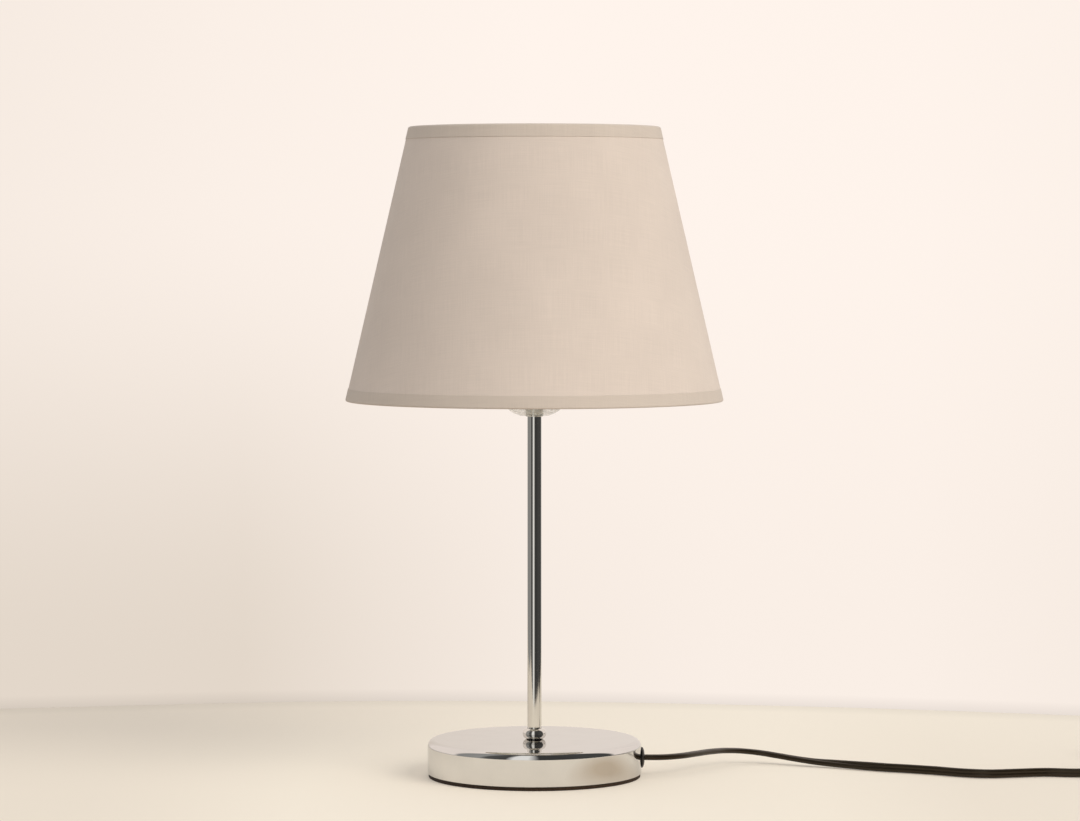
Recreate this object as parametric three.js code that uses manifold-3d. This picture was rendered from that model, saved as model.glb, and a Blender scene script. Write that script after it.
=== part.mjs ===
// A small table lamp: a tapered fabric shade on a wire frame, a thin plated stem, a round plated
// base with a weight inside, a screw lampholder with a candle bulb, and a flat twin mains cord with
// a rocker switch in it and a two-pin plug. Millimetres, +Z up, origin on the table at the stem.
import * as THREE from 'three';
import { mergeVertices } from 'three/addons/utils/BufferGeometryUtils.js';
import Module from 'manifold-3d';

const wasm = await Module();
wasm.setup();

// Clearances
const seat = 0.1; // between faces that rest on each other
const fit = 0.3; // around a piece in its hole
const past = 1; // how far a cutting shape runs beyond what it cuts

// Base
const baseDiameter = 120;
const baseHeight = 20.9;
const coverWall = 1.2;
const coverEdgeRadius = 4;
const padThickness = 2;
const padInset = 0.6;
const padHoleRadius = 4;
const plateThickness = 1.2;
const weightGap = 2.8;
const weightThickness = 9.4;
const weightChamfer = 3.4;
const weightWeb = 2.6;
const weightPocketRadius = 19;
const cordChannelWidth = 14;
const weightBossRadius = 5;
const plateScrewInset = 18;
const plateScrewRadius = 1.4;
const plateScrewLength = 11;
const plateScrewHeadRadius = 2.8;
const plateScrewHeadHeight = 1.6;

// Stem and its fixing
const stemRadius = 4;
const stemWall = 0.9;
const stemShown = 181.1;
const stemThreadBelowNut = 0.4;
const stemInAdapter = 8.1;
const collarRadius = 6.6;
const collarHeight = 6;
const nutAcrossFlats = 13;
const nutThickness = 3;
const washerRadius = 7.4;
const washerThickness = 0.8;
const washerTeeth = 12;
const washerToothDepth = 1.1;

// Cord bush in the side of the base
const cordExitHeight = 10.5;
const bushFlangeRadius = 5.9;
const bushFlangeThickness = 1.6;
const bushBarrelRadius = 4.5;
const bushBarrelLength = 8;
const bushTailRadius = 3.5;
const bushTailLength = 12;
const bushBarb = 0.6;
const bushBarbLength = 2.4;
const bushCrownRadius = 3.5;
const bushShoulderRadius = 5.1;

// Flat twin cord
const cordWidth = 5;
const cordThickness = 3;
const cordCorner = 0.8;
const cordSlack = 0.6;
const coreRadius = 0.75;
const coreSpacing = 1.9;

// Lampholder
const adapterRadius = 4.9;
const adapterHeight = 9.8;
const adapterLip = 0.6;
const adapterTopWall = 1.4;
const innerCordRise = 0.8;
const cupRadius = 20;
const cupMouthRadius = 8.4;
const cupHeight = 26.4;
const cupDome = 13.4;
const cupBellyRadius = 17.5;
const cupBellyHeight = 2.6;
const cupWall = 1.6;
const cupNeckHeight = 8.6;
const cupLedgeWidth = 4.4;
const grubScrewRadius = 1.5;
const grubScrewLength = 5;
const grubScrewHeight = 4.4;
const coreDiscThickness = 9.4;
const skirtSpigotWall = 1.4;
const skirtSpigotLength = 9;
const flangeRadius = 22.6;
const flangeThickness = 2.6;
const skirtThreadRadius = 19.4;
const skirtBoreRadius = 15.2;
const skirtHeight = 24.3;
const skirtMouthChamfer = 1.6;
const shellBoreRadius = 13.7;
const shellWall = 0.6;
const shellHeight = 21.5;
const terminalReach = 7;
const terminalWidth = 5;
const terminalDepth = 7;
const terminalHeight = 6.2;
const terminalScrewRadius = 1.2;
const terminalScrewHeadRadius = 2.2;
const terminalScrewHeadHeight = 1.8;
const stripThickness = 0.5;
const stripWidth = 5;
const springRise = 3.5;
const springTip = 3.5;
const springSet = 0.9;

// Bulb
const bulbTipRadius = 4.8;
const bulbTipHeight = 1.5;
const bulbInsulatorHeight = 3.2;
const bulbCapRadius = 13.2;
const bulbCapHeight = 18.5;
const bulbCapWall = 0.6;
const bulbCapFootRadius = 10.6;
const bulbCapFootHeight = 2.8;
const bulbBodyFootRadius = 13.6;
const bulbBodyTopRadius = 15.6;
const bulbBodyHeight = 19.5;
const bulbSpigotLength = 6;
const bulbGlobeRadius = 17.5;
const bulbGlobeHeight = 56.8;
const bulbGlassWall = 1;
const bulbTopRadius = 3;

// Shade
const shadeBottomDiameter = 211.4;
const shadeTopDiameter = 140.4;
const shadeHeight = 152.7;
const panelWall = 0.8;
const hemThickness = 0.4;
const hemHeight = 7;
const hemInnerHeight = 3.4;
const frameWireRadius = 1.6;
const armRadius = 1.5;
const armCount = 3;
const armLevelLength = 9;
const armBendLength = 5;
const armFootLength = 8;
const fitterRise = 21;
const fitterBoreRadius = 20;
const fitterRadius = 25;
const fitterThickness = 2;
const lockRingRadius = 26;
const lockRingHeight = 6;

// Rocker switch in the cord
const switchX = 366;
const switchY = -8;
const switchLength = 62;
const switchWidth = 26;
const switchBaseHeight = 8.2;
const switchCoverHeight = 10.2;
const switchWall = 1.9;
const switchCornerRadius = 8;
const switchEdge = 1.2;
const switchCordHeight = 6.4;
const switchCordDepth = 14;
const switchBossRadius = 3.5;
const switchScrewRadius = 1.2;
const switchScrewHeadRadius = 2.2;
const switchScrewHeadHeight = 1.7;
const switchScrewReachX = 20;
const switchScrewReachY = 7;
const rockerLength = 18.8;
const rockerWidth = 10.8;
const rockerGap = 1.2;
const rockerSideGap = 0.4;
const rockerPivotHeight = 13.2;
const rockerPinRadius = 1.5;
const rockerTilt = 8; // degrees each side of level
const rockerEarThickness = 1.8;
const rockerEarLength = 6;
const rockerEarDrop = 2.6;
const rockerDish = 1.3;
const rockerEdge = 0.6;
const rockerEndDepth = 2;
const rockerSole = 1.9;
const rockerSoleLength = 9;
const contactWidth = 4;
const contactThickness = 0.6;
const contactY = -1.6;
const contactReach = 8.6;
const contactTail = 4;
const contactPostWidth = 3;
const contactFootHeight = 2;
const wireSwing = 4.8;

// Plug
const plugFaceX = 347;
const plugWidth = 35.3;
const plugThickness = 13.7;
const plugLength = 36;
const plugNeckWidth = 11;
const plugStraightLength = 13;
const plugEdge = 1.2;
const plugCorner = 1;
const plugTailLength = 4;
const plugTailFlare = 1.4;
const reliefLength = 22;
const reliefRootRadius = 4.6;
const reliefEndRadius = 3.4;
const pinRadius = 2;
const pinLength = 19;
const pinInBody = 8;
const pinSpacing = 18.6;
const pinTipSpacing = 17.5;
const pinNoseRadius = 1.1;
const pinNoseLength = 1.2;

// Coil of spare cord
const coilX = 434;
const coilInnerRadius = 19.2;
const coilPitch = 5.5;
const coilLayerRise = 5.5;
const coilTurns = 7.5;
const coilStepsPerTurn = 24;
const coilSides = 6;
const tieThickness = 0.6;
const tieWidth = 9;
const tieGap = 0.35;

// Heights worked out from the sizes above
const coverRadius = baseDiameter / 2;
const coverInside = coverRadius - coverWall;
const coverUnder = baseHeight - coverWall;
const floorLevel = padThickness + seat;
const plateTop = floorLevel + plateThickness;
const weightRadius = coverInside - weightGap;
const plateScrewReach = weightRadius - plateScrewInset;
const weightTop = coverUnder - seat;
const weightUnder = weightTop - weightThickness;
const webUnder = weightTop - weightWeb;
const washerTop = webUnder - seat;
const nutTop = washerTop - washerThickness - seat;
const stemBottom = nutTop - nutThickness - stemThreadBelowNut;
const adapterBottom = baseHeight + stemShown;
const stemTop = adapterBottom + stemInAdapter;
const adapterTop = adapterBottom + adapterHeight;
const cupBottom = adapterBottom + adapterLip;
const cupTop = cupBottom + cupHeight;
const cupFloor = cupBottom + cupNeckHeight;
const innerCordTop = adapterTop + innerCordRise;
const cupInside = cupRadius - cupWall;
const skirtBottom = cupTop + seat;
const spigotOutside = cupInside - fit;
const spigotInside = spigotOutside - skirtSpigotWall;
const coreDiscTop = cupTop - 2 * seat;
const coreDiscUnder = coreDiscTop - coreDiscThickness;
const coreDiscRadius = spigotInside - fit;
const ledgeLevel = coreDiscUnder - seat;
const ledgeInside = cupInside - cupLedgeWidth;
const terminalTop = coreDiscUnder - seat;
const terminalBottom = terminalTop - terminalHeight;
const wireLevel = terminalBottom + terminalHeight / 2;
const flangeTop = skirtBottom + flangeThickness;
const skirtTop = flangeTop + skirtHeight;
const stripLevel = coreDiscTop + seat + stripThickness / 2;
const shellBottom = stripLevel + stripThickness / 2 + seat;
const bulbTipBottom = coreDiscTop + springRise + stripThickness / 2 + fit;
const bulbTipTop = bulbTipBottom + bulbTipHeight;
const insulatorTop = bulbTipTop + seat + bulbInsulatorHeight;
const capBottom = insulatorTop + seat;
const capTop = capBottom + bulbCapHeight;
const bulbBodyTop = capTop + seat + bulbBodyHeight;
const globeBottom = bulbBodyTop + seat;
const fitterBottom = flangeTop + seat;
const fitterTop = fitterBottom + fitterThickness;
const shadeBottom = fitterBottom - fitterRise;
const shadeTop = shadeBottom + shadeHeight;
const shadeTaper = (shadeBottomDiameter - shadeTopDiameter) / 2 / shadeHeight;
const switchSplit = switchBaseHeight + seat;
const switchTop = switchSplit + switchCoverHeight;
const coilOuterRadius = coilInnerRadius + (coilTurns / 2) * coilPitch;
const plugY = switchY + 2 * coilOuterRadius;

// How smoothly round pieces are divided
const roundFine = 36;
const round = 24;
const roundSmall = 20;
const roundTiny = 12;
const weldDistance = 1e-4;

const finish = (color, roughness, metalness = 0) =>
  new THREE.MeshStandardMaterial({ color, roughness, metalness });
const chrome = finish(0xdcdad4, 0.08, 1);
const zinc = finish(0xb4b6b8, 0.4, 1);
const iron = finish(0x4c4c4e, 0.7, 0.8);
const brass = finish(0xc9a24c, 0.3, 1);
const bronze = finish(0xc08a58, 0.35, 1);
const nickel = finish(0xc8c4ba, 0.25, 1);
const whiteSteel = finish(0xe8e6e0, 0.5, 0.2);
const fabric = finish(0xb7a899, 0.95);
const hemTape = finish(0xa79b88, 0.95);
const blackFoam = finish(0x141413, 0.95);
const blackPlastic = finish(0x161617, 0.45);
const blackCord = finish(0x121212, 0.5);
const milkyPlastic = finish(0xf1eee6, 0.35);
const ceramic = finish(0xefeae0, 0.3);
const whitePlastic = finish(0xf3f2ee, 0.4);
const frostedGlass = finish(0xfbfaf5, 0.3);
const blackGlass = finish(0x1c1a22, 0.2);
const fibreboard = finish(0x3b352f, 0.85);
const liveBrown = finish(0x6b3f22, 0.5);
const neutralBlue = finish(0x2f5f9e, 0.5);

const lamp = new THREE.Group();

/** Adds one named piece to the lamp. */
function addPiece(name, geometry, material) {
  const mesh = new THREE.Mesh(closed(geometry), material);
  mesh.name = name;
  lamp.add(mesh);
}

/** Welds a geometry into one closed skin whose faces point outwards. */
function closed(geometry) {
  const bare = geometry.clone();
  bare.deleteAttribute('normal');
  bare.deleteAttribute('uv');
  const welded = mergeVertices(bare, weldDistance);
  const at = welded.attributes.position;
  const index = welded.index.array;
  const kept = [];
  const a = new THREE.Vector3();
  const b = new THREE.Vector3();
  const c = new THREE.Vector3();
  let volume = 0;
  for (let i = 0; i < index.length; i += 3) {
    const [p, q, r] = [index[i], index[i + 1], index[i + 2]];
    if (p === q || q === r || r === p) continue;
    kept.push(p, q, r);
    a.fromBufferAttribute(at, p);
    b.fromBufferAttribute(at, q);
    c.fromBufferAttribute(at, r);
    volume += a.dot(b.cross(c)) / 6;
  }
  if (volume < 0) {
    for (let i = 0; i < kept.length; i += 3) [kept[i], kept[i + 1]] = [kept[i + 1], kept[i]];
  }
  welded.setIndex(kept);
  return welded;
}

/** Turns a geometry into a solid that can be cut and joined. */
function toSolid(geometry) {
  const skin = closed(geometry);
  return new wasm.Manifold(new wasm.Mesh({
    numProp: 3,
    vertProperties: new Float32Array(skin.attributes.position.array),
    triVerts: new Uint32Array(skin.index.array),
  }));
}

/** Turns a solid back into a geometry. */
function toGeometry(solid) {
  const mesh = solid.getMesh();
  const geometry = new THREE.BufferGeometry();
  geometry.setAttribute('position', new THREE.BufferAttribute(mesh.vertProperties, 3));
  geometry.setIndex(Array.from(mesh.triVerts));
  return geometry;
}

/** Joins geometries into one body. */
function join(first, ...others) {
  return toGeometry(others.reduce((whole, next) => whole.add(toSolid(next)), toSolid(first)));
}

/** Cuts every tool out of a body. */
function cut(body, ...tools) {
  return toGeometry(tools.reduce((whole, tool) => whole.subtract(toSolid(tool)), toSolid(body)));
}

/** Turns a closed [radius, height] outline about the Z axis. */
function turned(outline, segments = round) {
  const points = outline.map(([radius, height]) => new THREE.Vector2(radius, height));
  const onAxis = outline[0][0] === 0 && outline[outline.length - 1][0] === 0;
  if (!onAxis) points.push(points[0].clone());
  return new THREE.LatheGeometry(points, segments).rotateX(Math.PI / 2);
}

/** A plain ring or tube about the Z axis. */
function ring(inside, outside, bottom, top, segments = round) {
  return turned([[inside, bottom], [outside, bottom], [outside, top], [inside, top]], segments);
}

/** A solid disc or rod about the Z axis. */
function disc(radius, bottom, top, segments = round) {
  return turned([[0, bottom], [radius, bottom], [radius, top], [0, top]], segments);
}

/** Points of a quarter or other arc in [radius, height], ends included. */
function arc(centreR, centreZ, radius, fromDegrees, toDegrees, steps) {
  const points = [];
  for (let i = 0; i <= steps; i += 1) {
    const angle = THREE.MathUtils.degToRad(fromDegrees + ((toDegrees - fromDegrees) * i) / steps);
    points.push([centreR + radius * Math.cos(angle), centreZ + radius * Math.sin(angle)]);
  }
  return points;
}

/** A box between two corners. */
function block([x0, y0, z0], [x1, y1, z1]) {
  return new THREE.BoxGeometry(x1 - x0, y1 - y0, z1 - z0)
    .translate((x0 + x1) / 2, (y0 + y1) / 2, (z0 + z1) / 2);
}

/** A rod along X. */
function rodX(radius, x0, x1, y, z, segments = roundSmall) {
  return disc(radius, x0, x1, segments).rotateY(Math.PI / 2).translate(0, y, z);
}

/** A rod along Y. */
function rodY(radius, y0, y1, x, z, segments = roundSmall) {
  return disc(radius, -y1, -y0, segments).rotateX(Math.PI / 2).translate(x, 0, z);
}

/** An [x, z] outline made as wide as the span from y0 to y1. */
function slab(outline, y0, y1) {
  const shape = new THREE.Shape(outline.map(([x, z]) => new THREE.Vector2(x, z)));
  return new THREE.ExtrudeGeometry(shape, { depth: y1 - y0, bevelEnabled: false })
    .rotateX(Math.PI / 2).translate(0, y1, 0);
}

/** A bent metal strip that follows [x, z] points, as wide as the span from y0 to y1. */
function strip(points, thickness, y0, y1) {
  const line = points.map(([x, z]) => new THREE.Vector2(x, z));
  const left = [];
  const right = [];
  line.forEach((point, i) => {
    const before = line[Math.max(i - 1, 0)];
    const after = line[Math.min(i + 1, line.length - 1)];
    const along = after.clone().sub(before).normalize();
    const across = new THREE.Vector2(-along.y, along.x);
    const inward = point.clone().sub(before).normalize();
    const bend = i > 0 && i < line.length - 1 ? Math.max(along.dot(inward), 0.5) : 1;
    left.push(point.clone().addScaledVector(across, thickness / 2 / bend));
    right.unshift(point.clone().addScaledVector(across, -thickness / 2 / bend));
  });
  return slab([...left, ...right].map((p) => [p.x, p.y]), y0, y1);
}

/** A rectangle with round corners as a shape about the origin. */
function roundedRectangle(length, width, radius) {
  const shape = new THREE.Shape();
  const x = length / 2 - radius;
  const y = width / 2 - radius;
  shape.absarc(x, y, radius, 0, Math.PI / 2);
  shape.absarc(-x, y, radius, Math.PI / 2, Math.PI);
  shape.absarc(-x, -y, radius, Math.PI, Math.PI * 1.5);
  shape.absarc(x, -y, radius, Math.PI * 1.5, Math.PI * 2);
  return shape;
}

/** Frames along a curve that start upright and turn only as much as the curve does. */
function carriedFrames(curve, segments) {
  const tangents = [];
  const normals = [];
  const binormals = [];
  let up = new THREE.Vector3(0, 0, 1);
  for (let i = 0; i <= segments; i += 1) {
    const tangent = curve.getTangent(i / segments);
    up = up.clone().addScaledVector(tangent, -up.dot(tangent)).normalize();
    tangents.push(tangent);
    normals.push(up);
    binormals.push(new THREE.Vector3().crossVectors(tangent, up));
  }
  return { tangents, normals, binormals };
}

/** A route through chosen points, with steps set by the points and not by the length. */
class Route extends THREE.CatmullRomCurve3 {
  constructor(points) {
    super(vectors(points), false, 'centripetal');
  }

  getUtoTmapping(u) {
    return u;
  }

  computeFrenetFrames(segments) {
    return carriedFrames(this, segments);
  }
}

/** A cord or wire of one section that follows a route. */
function drawn(curve, section, steps) {
  return new THREE.ExtrudeGeometry(section, { steps, extrudePath: curve, bevelEnabled: false });
}

/** A many-sided round section. */
function roundSection(radius, sides) {
  const points = [];
  for (let i = 0; i < sides; i += 1) {
    const angle = (2 * Math.PI * (i + 0.5)) / sides;
    points.push(new THREE.Vector2(radius * Math.cos(angle), radius * Math.sin(angle)));
  }
  return new THREE.Shape(points);
}

/** The section of the flat twin cord, thin along the first axis and wide along the second. */
function flatSection() {
  const shape = new THREE.Shape();
  const t = cordThickness / 2;
  const w = cordWidth / 2;
  shape.moveTo(t, w - t);
  shape.lineTo(t - cordCorner, w);
  shape.lineTo(cordCorner - t, w);
  shape.lineTo(-t, w - t);
  shape.lineTo(-t, t - w);
  shape.lineTo(cordCorner - t, -w);
  shape.lineTo(t - cordCorner, -w);
  shape.lineTo(t, t - w);
  return shape;
}

const vectors = (points) => points.map(([x, y, z]) => new THREE.Vector3(x, y, z));

// Base: pressed cover, weight, bottom plate, foam pad and screws
function buildBase() {
  const edge = coverRadius - coverEdgeRadius;
  const cover = turned([
    [stemRadius + fit, baseHeight],
    ...arc(edge, baseHeight - coverEdgeRadius, coverEdgeRadius, 90, 0, 3),
    [coverRadius, floorLevel],
    [coverInside, floorLevel],
    ...arc(edge, baseHeight - coverEdgeRadius, coverEdgeRadius - coverWall, 0, 90, 3),
    [stemRadius + fit, coverUnder],
  ], roundFine);
  const bushHole = rodX(bushBarrelRadius + fit, coverInside - past, coverRadius + past, 0, cordExitHeight);
  addPiece('base_cover', cut(cover, bushHole), chrome);

  const disk = turned([
    [stemRadius + fit, webUnder],
    [weightPocketRadius, webUnder],
    [weightPocketRadius, weightUnder],
    [weightRadius, weightUnder],
    [weightRadius, weightTop - weightChamfer],
    [weightRadius - weightChamfer, weightTop],
    [stemRadius + fit, weightTop],
  ], roundFine);
  const bossBottom = plateTop + seat;
  const bosses = [];
  const threads = [];
  for (const side of [-1, 1]) {
    const y = side * plateScrewReach;
    bosses.push(disc(weightBossRadius, bossBottom, weightUnder + past, roundTiny).translate(0, y, 0));
    threads.push(disc(plateScrewRadius + fit, bossBottom - past, webUnder, roundTiny).translate(0, y, 0));
  }
  const channel = block(
    [weightPocketRadius - 2 * past, -cordChannelWidth / 2, weightUnder - past],
    [weightRadius + past, cordChannelWidth / 2, webUnder],
  );
  addPiece('base_weight', cut(join(disk, ...bosses), channel, ...threads), iron);

  const plateHoles = [];
  const padHoles = [];
  for (const side of [-1, 1]) {
    const y = side * plateScrewReach;
    plateHoles.push(disc(plateScrewRadius + fit, 0, plateTop + past, roundTiny).translate(0, y, 0));
    padHoles.push(disc(padHoleRadius, -past, padThickness + past, roundTiny).translate(0, y, 0));
  }
  const plate = disc(coverInside - fit, floorLevel, plateTop, roundFine);
  addPiece('base_plate', cut(plate, ...plateHoles), fibreboard);
  const pad = disc(coverRadius - padInset, 0, padThickness, roundFine);
  addPiece('base_pad', cut(pad, ...padHoles), blackFoam);

  [-1, 1].forEach((side, i) => {
    const headTop = floorLevel - seat;
    const screw = turned([
      [0, headTop - plateScrewHeadHeight],
      [plateScrewHeadRadius * 0.7, headTop - plateScrewHeadHeight],
      [plateScrewHeadRadius, headTop - plateScrewHeadHeight / 2],
      [plateScrewHeadRadius, headTop],
      [plateScrewRadius, headTop],
      [plateScrewRadius, headTop + plateScrewLength],
      [0, headTop + plateScrewLength],
    ], roundTiny);
    addPiece(`plate_screw_${i + 1}`, screw.translate(0, side * plateScrewReach, 0), zinc);
  });
}

// Stem: tube, collar, toothed washer and nut under the base
function buildStem() {
  addPiece('stem_tube', ring(stemRadius - stemWall, stemRadius, stemBottom, stemTop, roundSmall), chrome);

  const bead = collarHeight / 2;
  const collarBottom = baseHeight + seat;
  addPiece('stem_collar', turned([
    [stemRadius + fit / 2, collarBottom],
    ...arc(collarRadius - bead, collarBottom + bead, bead, -90, 90, 6),
    [stemRadius + fit / 2, collarBottom + collarHeight],
  ], roundSmall), chrome);

  const star = new THREE.Shape();
  const corners = washerTeeth * 2;
  for (let i = 0; i < corners; i += 1) {
    const radius = i % 2 ? washerRadius : washerRadius - washerToothDepth;
    const angle = (2 * Math.PI * i) / corners;
    const place = [radius * Math.cos(angle), radius * Math.sin(angle)];
    if (i === 0) star.moveTo(...place);
    else star.lineTo(...place);
  }
  const toothed = new THREE.ExtrudeGeometry(star, { depth: washerThickness, bevelEnabled: false })
    .translate(0, 0, washerTop - washerThickness);
  const stemHole = disc(stemRadius + fit / 2, 0, baseHeight, roundSmall);
  addPiece('stem_lock_washer', cut(toothed, stemHole), zinc);

  const nut = disc(nutAcrossFlats / 2 / Math.cos(Math.PI / 6), nutTop - nutThickness, nutTop, 6);
  addPiece('stem_nut', cut(nut, stemHole), zinc);
}

// Where the cord comes in: bush, and the cord inside the base and the stem
function buildCordEntry() {
  const wall = coverRadius + seat;
  const barrelEnd = wall - bushBarrelLength;
  const barbEnd = coverInside * Math.cos((2 * Math.PI) / roundFine) - seat;
  const bush = turned([
    [0, barrelEnd - bushTailLength],
    [bushTailRadius, barrelEnd - bushTailLength],
    [bushBarrelRadius, barrelEnd],
    [bushBarrelRadius, barbEnd - bushBarbLength],
    [bushBarrelRadius + bushBarb, barbEnd],
    [bushBarrelRadius, barbEnd],
    [bushBarrelRadius, wall],
    [bushFlangeRadius, wall],
    [bushShoulderRadius, wall + bushFlangeThickness / 2],
    [bushCrownRadius, wall + bushFlangeThickness],
    [0, wall + bushFlangeThickness],
  ], roundSmall).rotateY(Math.PI / 2).translate(0, 0, cordExitHeight);
  const halfWidth = (cordWidth + cordSlack) / 2;
  const halfThickness = (cordThickness + cordSlack) / 2;
  const slot = block(
    [barrelEnd - bushTailLength - past, -halfWidth, cordExitHeight - halfThickness],
    [wall + bushFlangeThickness + past, halfWidth, cordExitHeight + halfThickness],
  );
  addPiece('cord_bush', cut(bush, slot), blackPlastic);

  const inner = new Route([
    [wall + bushFlangeThickness - seat, 0, cordExitHeight],
    [50, 0, cordExitHeight],
    [38, 0, 10.3],
    [31, 0, 9.1],
    [25, 0, 7.2],
    [19, 0, 5.7],
    [13, 0, 5.1],
    [8, 0, 5.1],
    [4.2, 0, 6.2],
    [1.5, 0, 8.7],
    [0.2, 0, 12],
    [0, 0, 16],
    [0, 0, 60],
    [0, 0, 130],
    [0, 0, innerCordTop],
  ]);
  addPiece('inner_cord', drawn(inner, flatSection(), 28), blackCord);
}

// Lampholder: adapter on the stem, cup, insert with its terminals and contacts, and threaded skirt
function buildHolder() {
  addPiece('stem_adapter', turned([
    [stemRadius + fit / 2, adapterBottom],
    [adapterRadius, adapterBottom],
    [adapterRadius, adapterTop],
    [stemRadius - stemWall, adapterTop],
    [stemRadius - stemWall, adapterTop - adapterTopWall],
    [stemRadius + fit / 2, adapterTop - adapterTopWall],
  ], roundSmall), chrome);

  const dome = new THREE.QuadraticBezierCurve(
    new THREE.Vector2(cupMouthRadius, cupBottom),
    new THREE.Vector2(cupBellyRadius, cupBottom + cupBellyHeight),
    new THREE.Vector2(cupRadius, cupBottom + cupDome),
  ).getPoints(5).map((point) => [point.x, point.y]);
  const cup = turned([
    [adapterRadius + fit, cupBottom],
    ...dome,
    [cupRadius, cupTop],
    [cupInside, cupTop],
    [cupInside, ledgeLevel],
    [ledgeInside, ledgeLevel],
    [ledgeInside - cupWall, cupFloor],
    [adapterRadius + fit, cupFloor],
  ]);
  const grubLevel = cupBottom + grubScrewHeight;
  const grubHole = rodY(grubScrewRadius + fit, adapterRadius, cupRadius, 0, grubLevel, roundTiny);
  addPiece('holder_cup', cut(cup, grubHole), milkyPlastic);
  const grubStart = adapterRadius + fit;
  addPiece('holder_grub_screw',
    rodY(grubScrewRadius, grubStart, grubStart + grubScrewLength, 0, grubLevel, roundTiny), zinc);

  const slotHalf = stripThickness / 2 + fit;
  const slots = [-1, 1].map((side) => block(
    [side * terminalReach - slotHalf, -stripWidth / 2 - fit, coreDiscUnder - past],
    [side * terminalReach + slotHalf, stripWidth / 2 + fit, coreDiscTop + past],
  ));
  addPiece('holder_core', cut(disc(coreDiscRadius, coreDiscUnder, coreDiscTop), ...slots), ceramic);

  for (const [side, name] of [[1, 'live'], [-1, 'neutral']]) {
    const x = side * terminalReach;
    const half = terminalWidth / 2;
    const body = block(
      [x - half, -terminalDepth / 2, terminalBottom],
      [x + half, terminalDepth / 2, terminalTop],
    );
    const ends = [x - side * (half + past), x].sort((a, b) => a - b);
    const wireHole = rodX(coreRadius + fit, ...ends, 0, wireLevel, roundTiny);
    const screwHole = rodY(terminalScrewRadius + fit, -terminalDepth, 0, x, wireLevel, roundTiny);
    addPiece(`terminal_${name}`, cut(body, wireHole, screwHole), brass);

    const headEnd = -terminalDepth / 2 - seat;
    const screw = turned([
      [0, coreRadius + fit],
      [terminalScrewRadius, coreRadius + fit],
      [terminalScrewRadius, -headEnd],
      [terminalScrewHeadRadius, -headEnd],
      [terminalScrewHeadRadius, -headEnd + terminalScrewHeadHeight],
      [0, -headEnd + terminalScrewHeadHeight],
    ], roundTiny).rotateX(Math.PI / 2).translate(x, 0, wireLevel);
    addPiece(`terminal_screw_${name}`, screw, zinc);

    const lead = new Route([
      [(side * coreSpacing) / 2, 0, innerCordTop + fit],
      [side * 1.1, 0, innerCordTop + 1.4],
      [side * 2.1, 0, wireLevel - 0.4],
      [side * 3.5, 0, wireLevel],
      [side * (terminalReach - terminalScrewRadius), 0, wireLevel],
    ]);
    const sleeve = side > 0 ? liveBrown : neutralBlue;
    addPiece(`lead_${name}`, drawn(lead, roundSection(coreRadius, 6), 12), sleeve);
  }

  const half = stripWidth / 2;
  addPiece('centre_contact', strip([
    [terminalReach, terminalTop + seat],
    [terminalReach, stripLevel],
    [terminalReach - springSet, stripLevel + springSet],
    [-springTip / 2, coreDiscTop + springRise],
    [-springTip, coreDiscTop + springRise - springSet / 2],
  ], stripThickness, -half, half), bronze);
  addPiece('side_contact', strip([
    [-terminalReach, terminalTop + seat],
    [-terminalReach, stripLevel],
    [-shellBoreRadius, stripLevel],
  ], stripThickness, -half, half), bronze);

  addPiece('screw_shell',
    ring(shellBoreRadius, shellBoreRadius + shellWall, shellBottom, shellBottom + shellHeight), nickel);

  addPiece('holder_skirt', turned([
    [spigotInside, cupTop - skirtSpigotLength],
    [spigotOutside, cupTop - skirtSpigotLength],
    [spigotOutside, skirtBottom],
    [flangeRadius, skirtBottom],
    [flangeRadius, flangeTop],
    [skirtThreadRadius, flangeTop],
    [skirtThreadRadius, skirtTop],
    [skirtBoreRadius + skirtMouthChamfer, skirtTop],
    [skirtBoreRadius, skirtTop - skirtMouthChamfer],
    [skirtBoreRadius, skirtBottom],
    [spigotInside, skirtBottom],
  ]), milkyPlastic);
}

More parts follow.
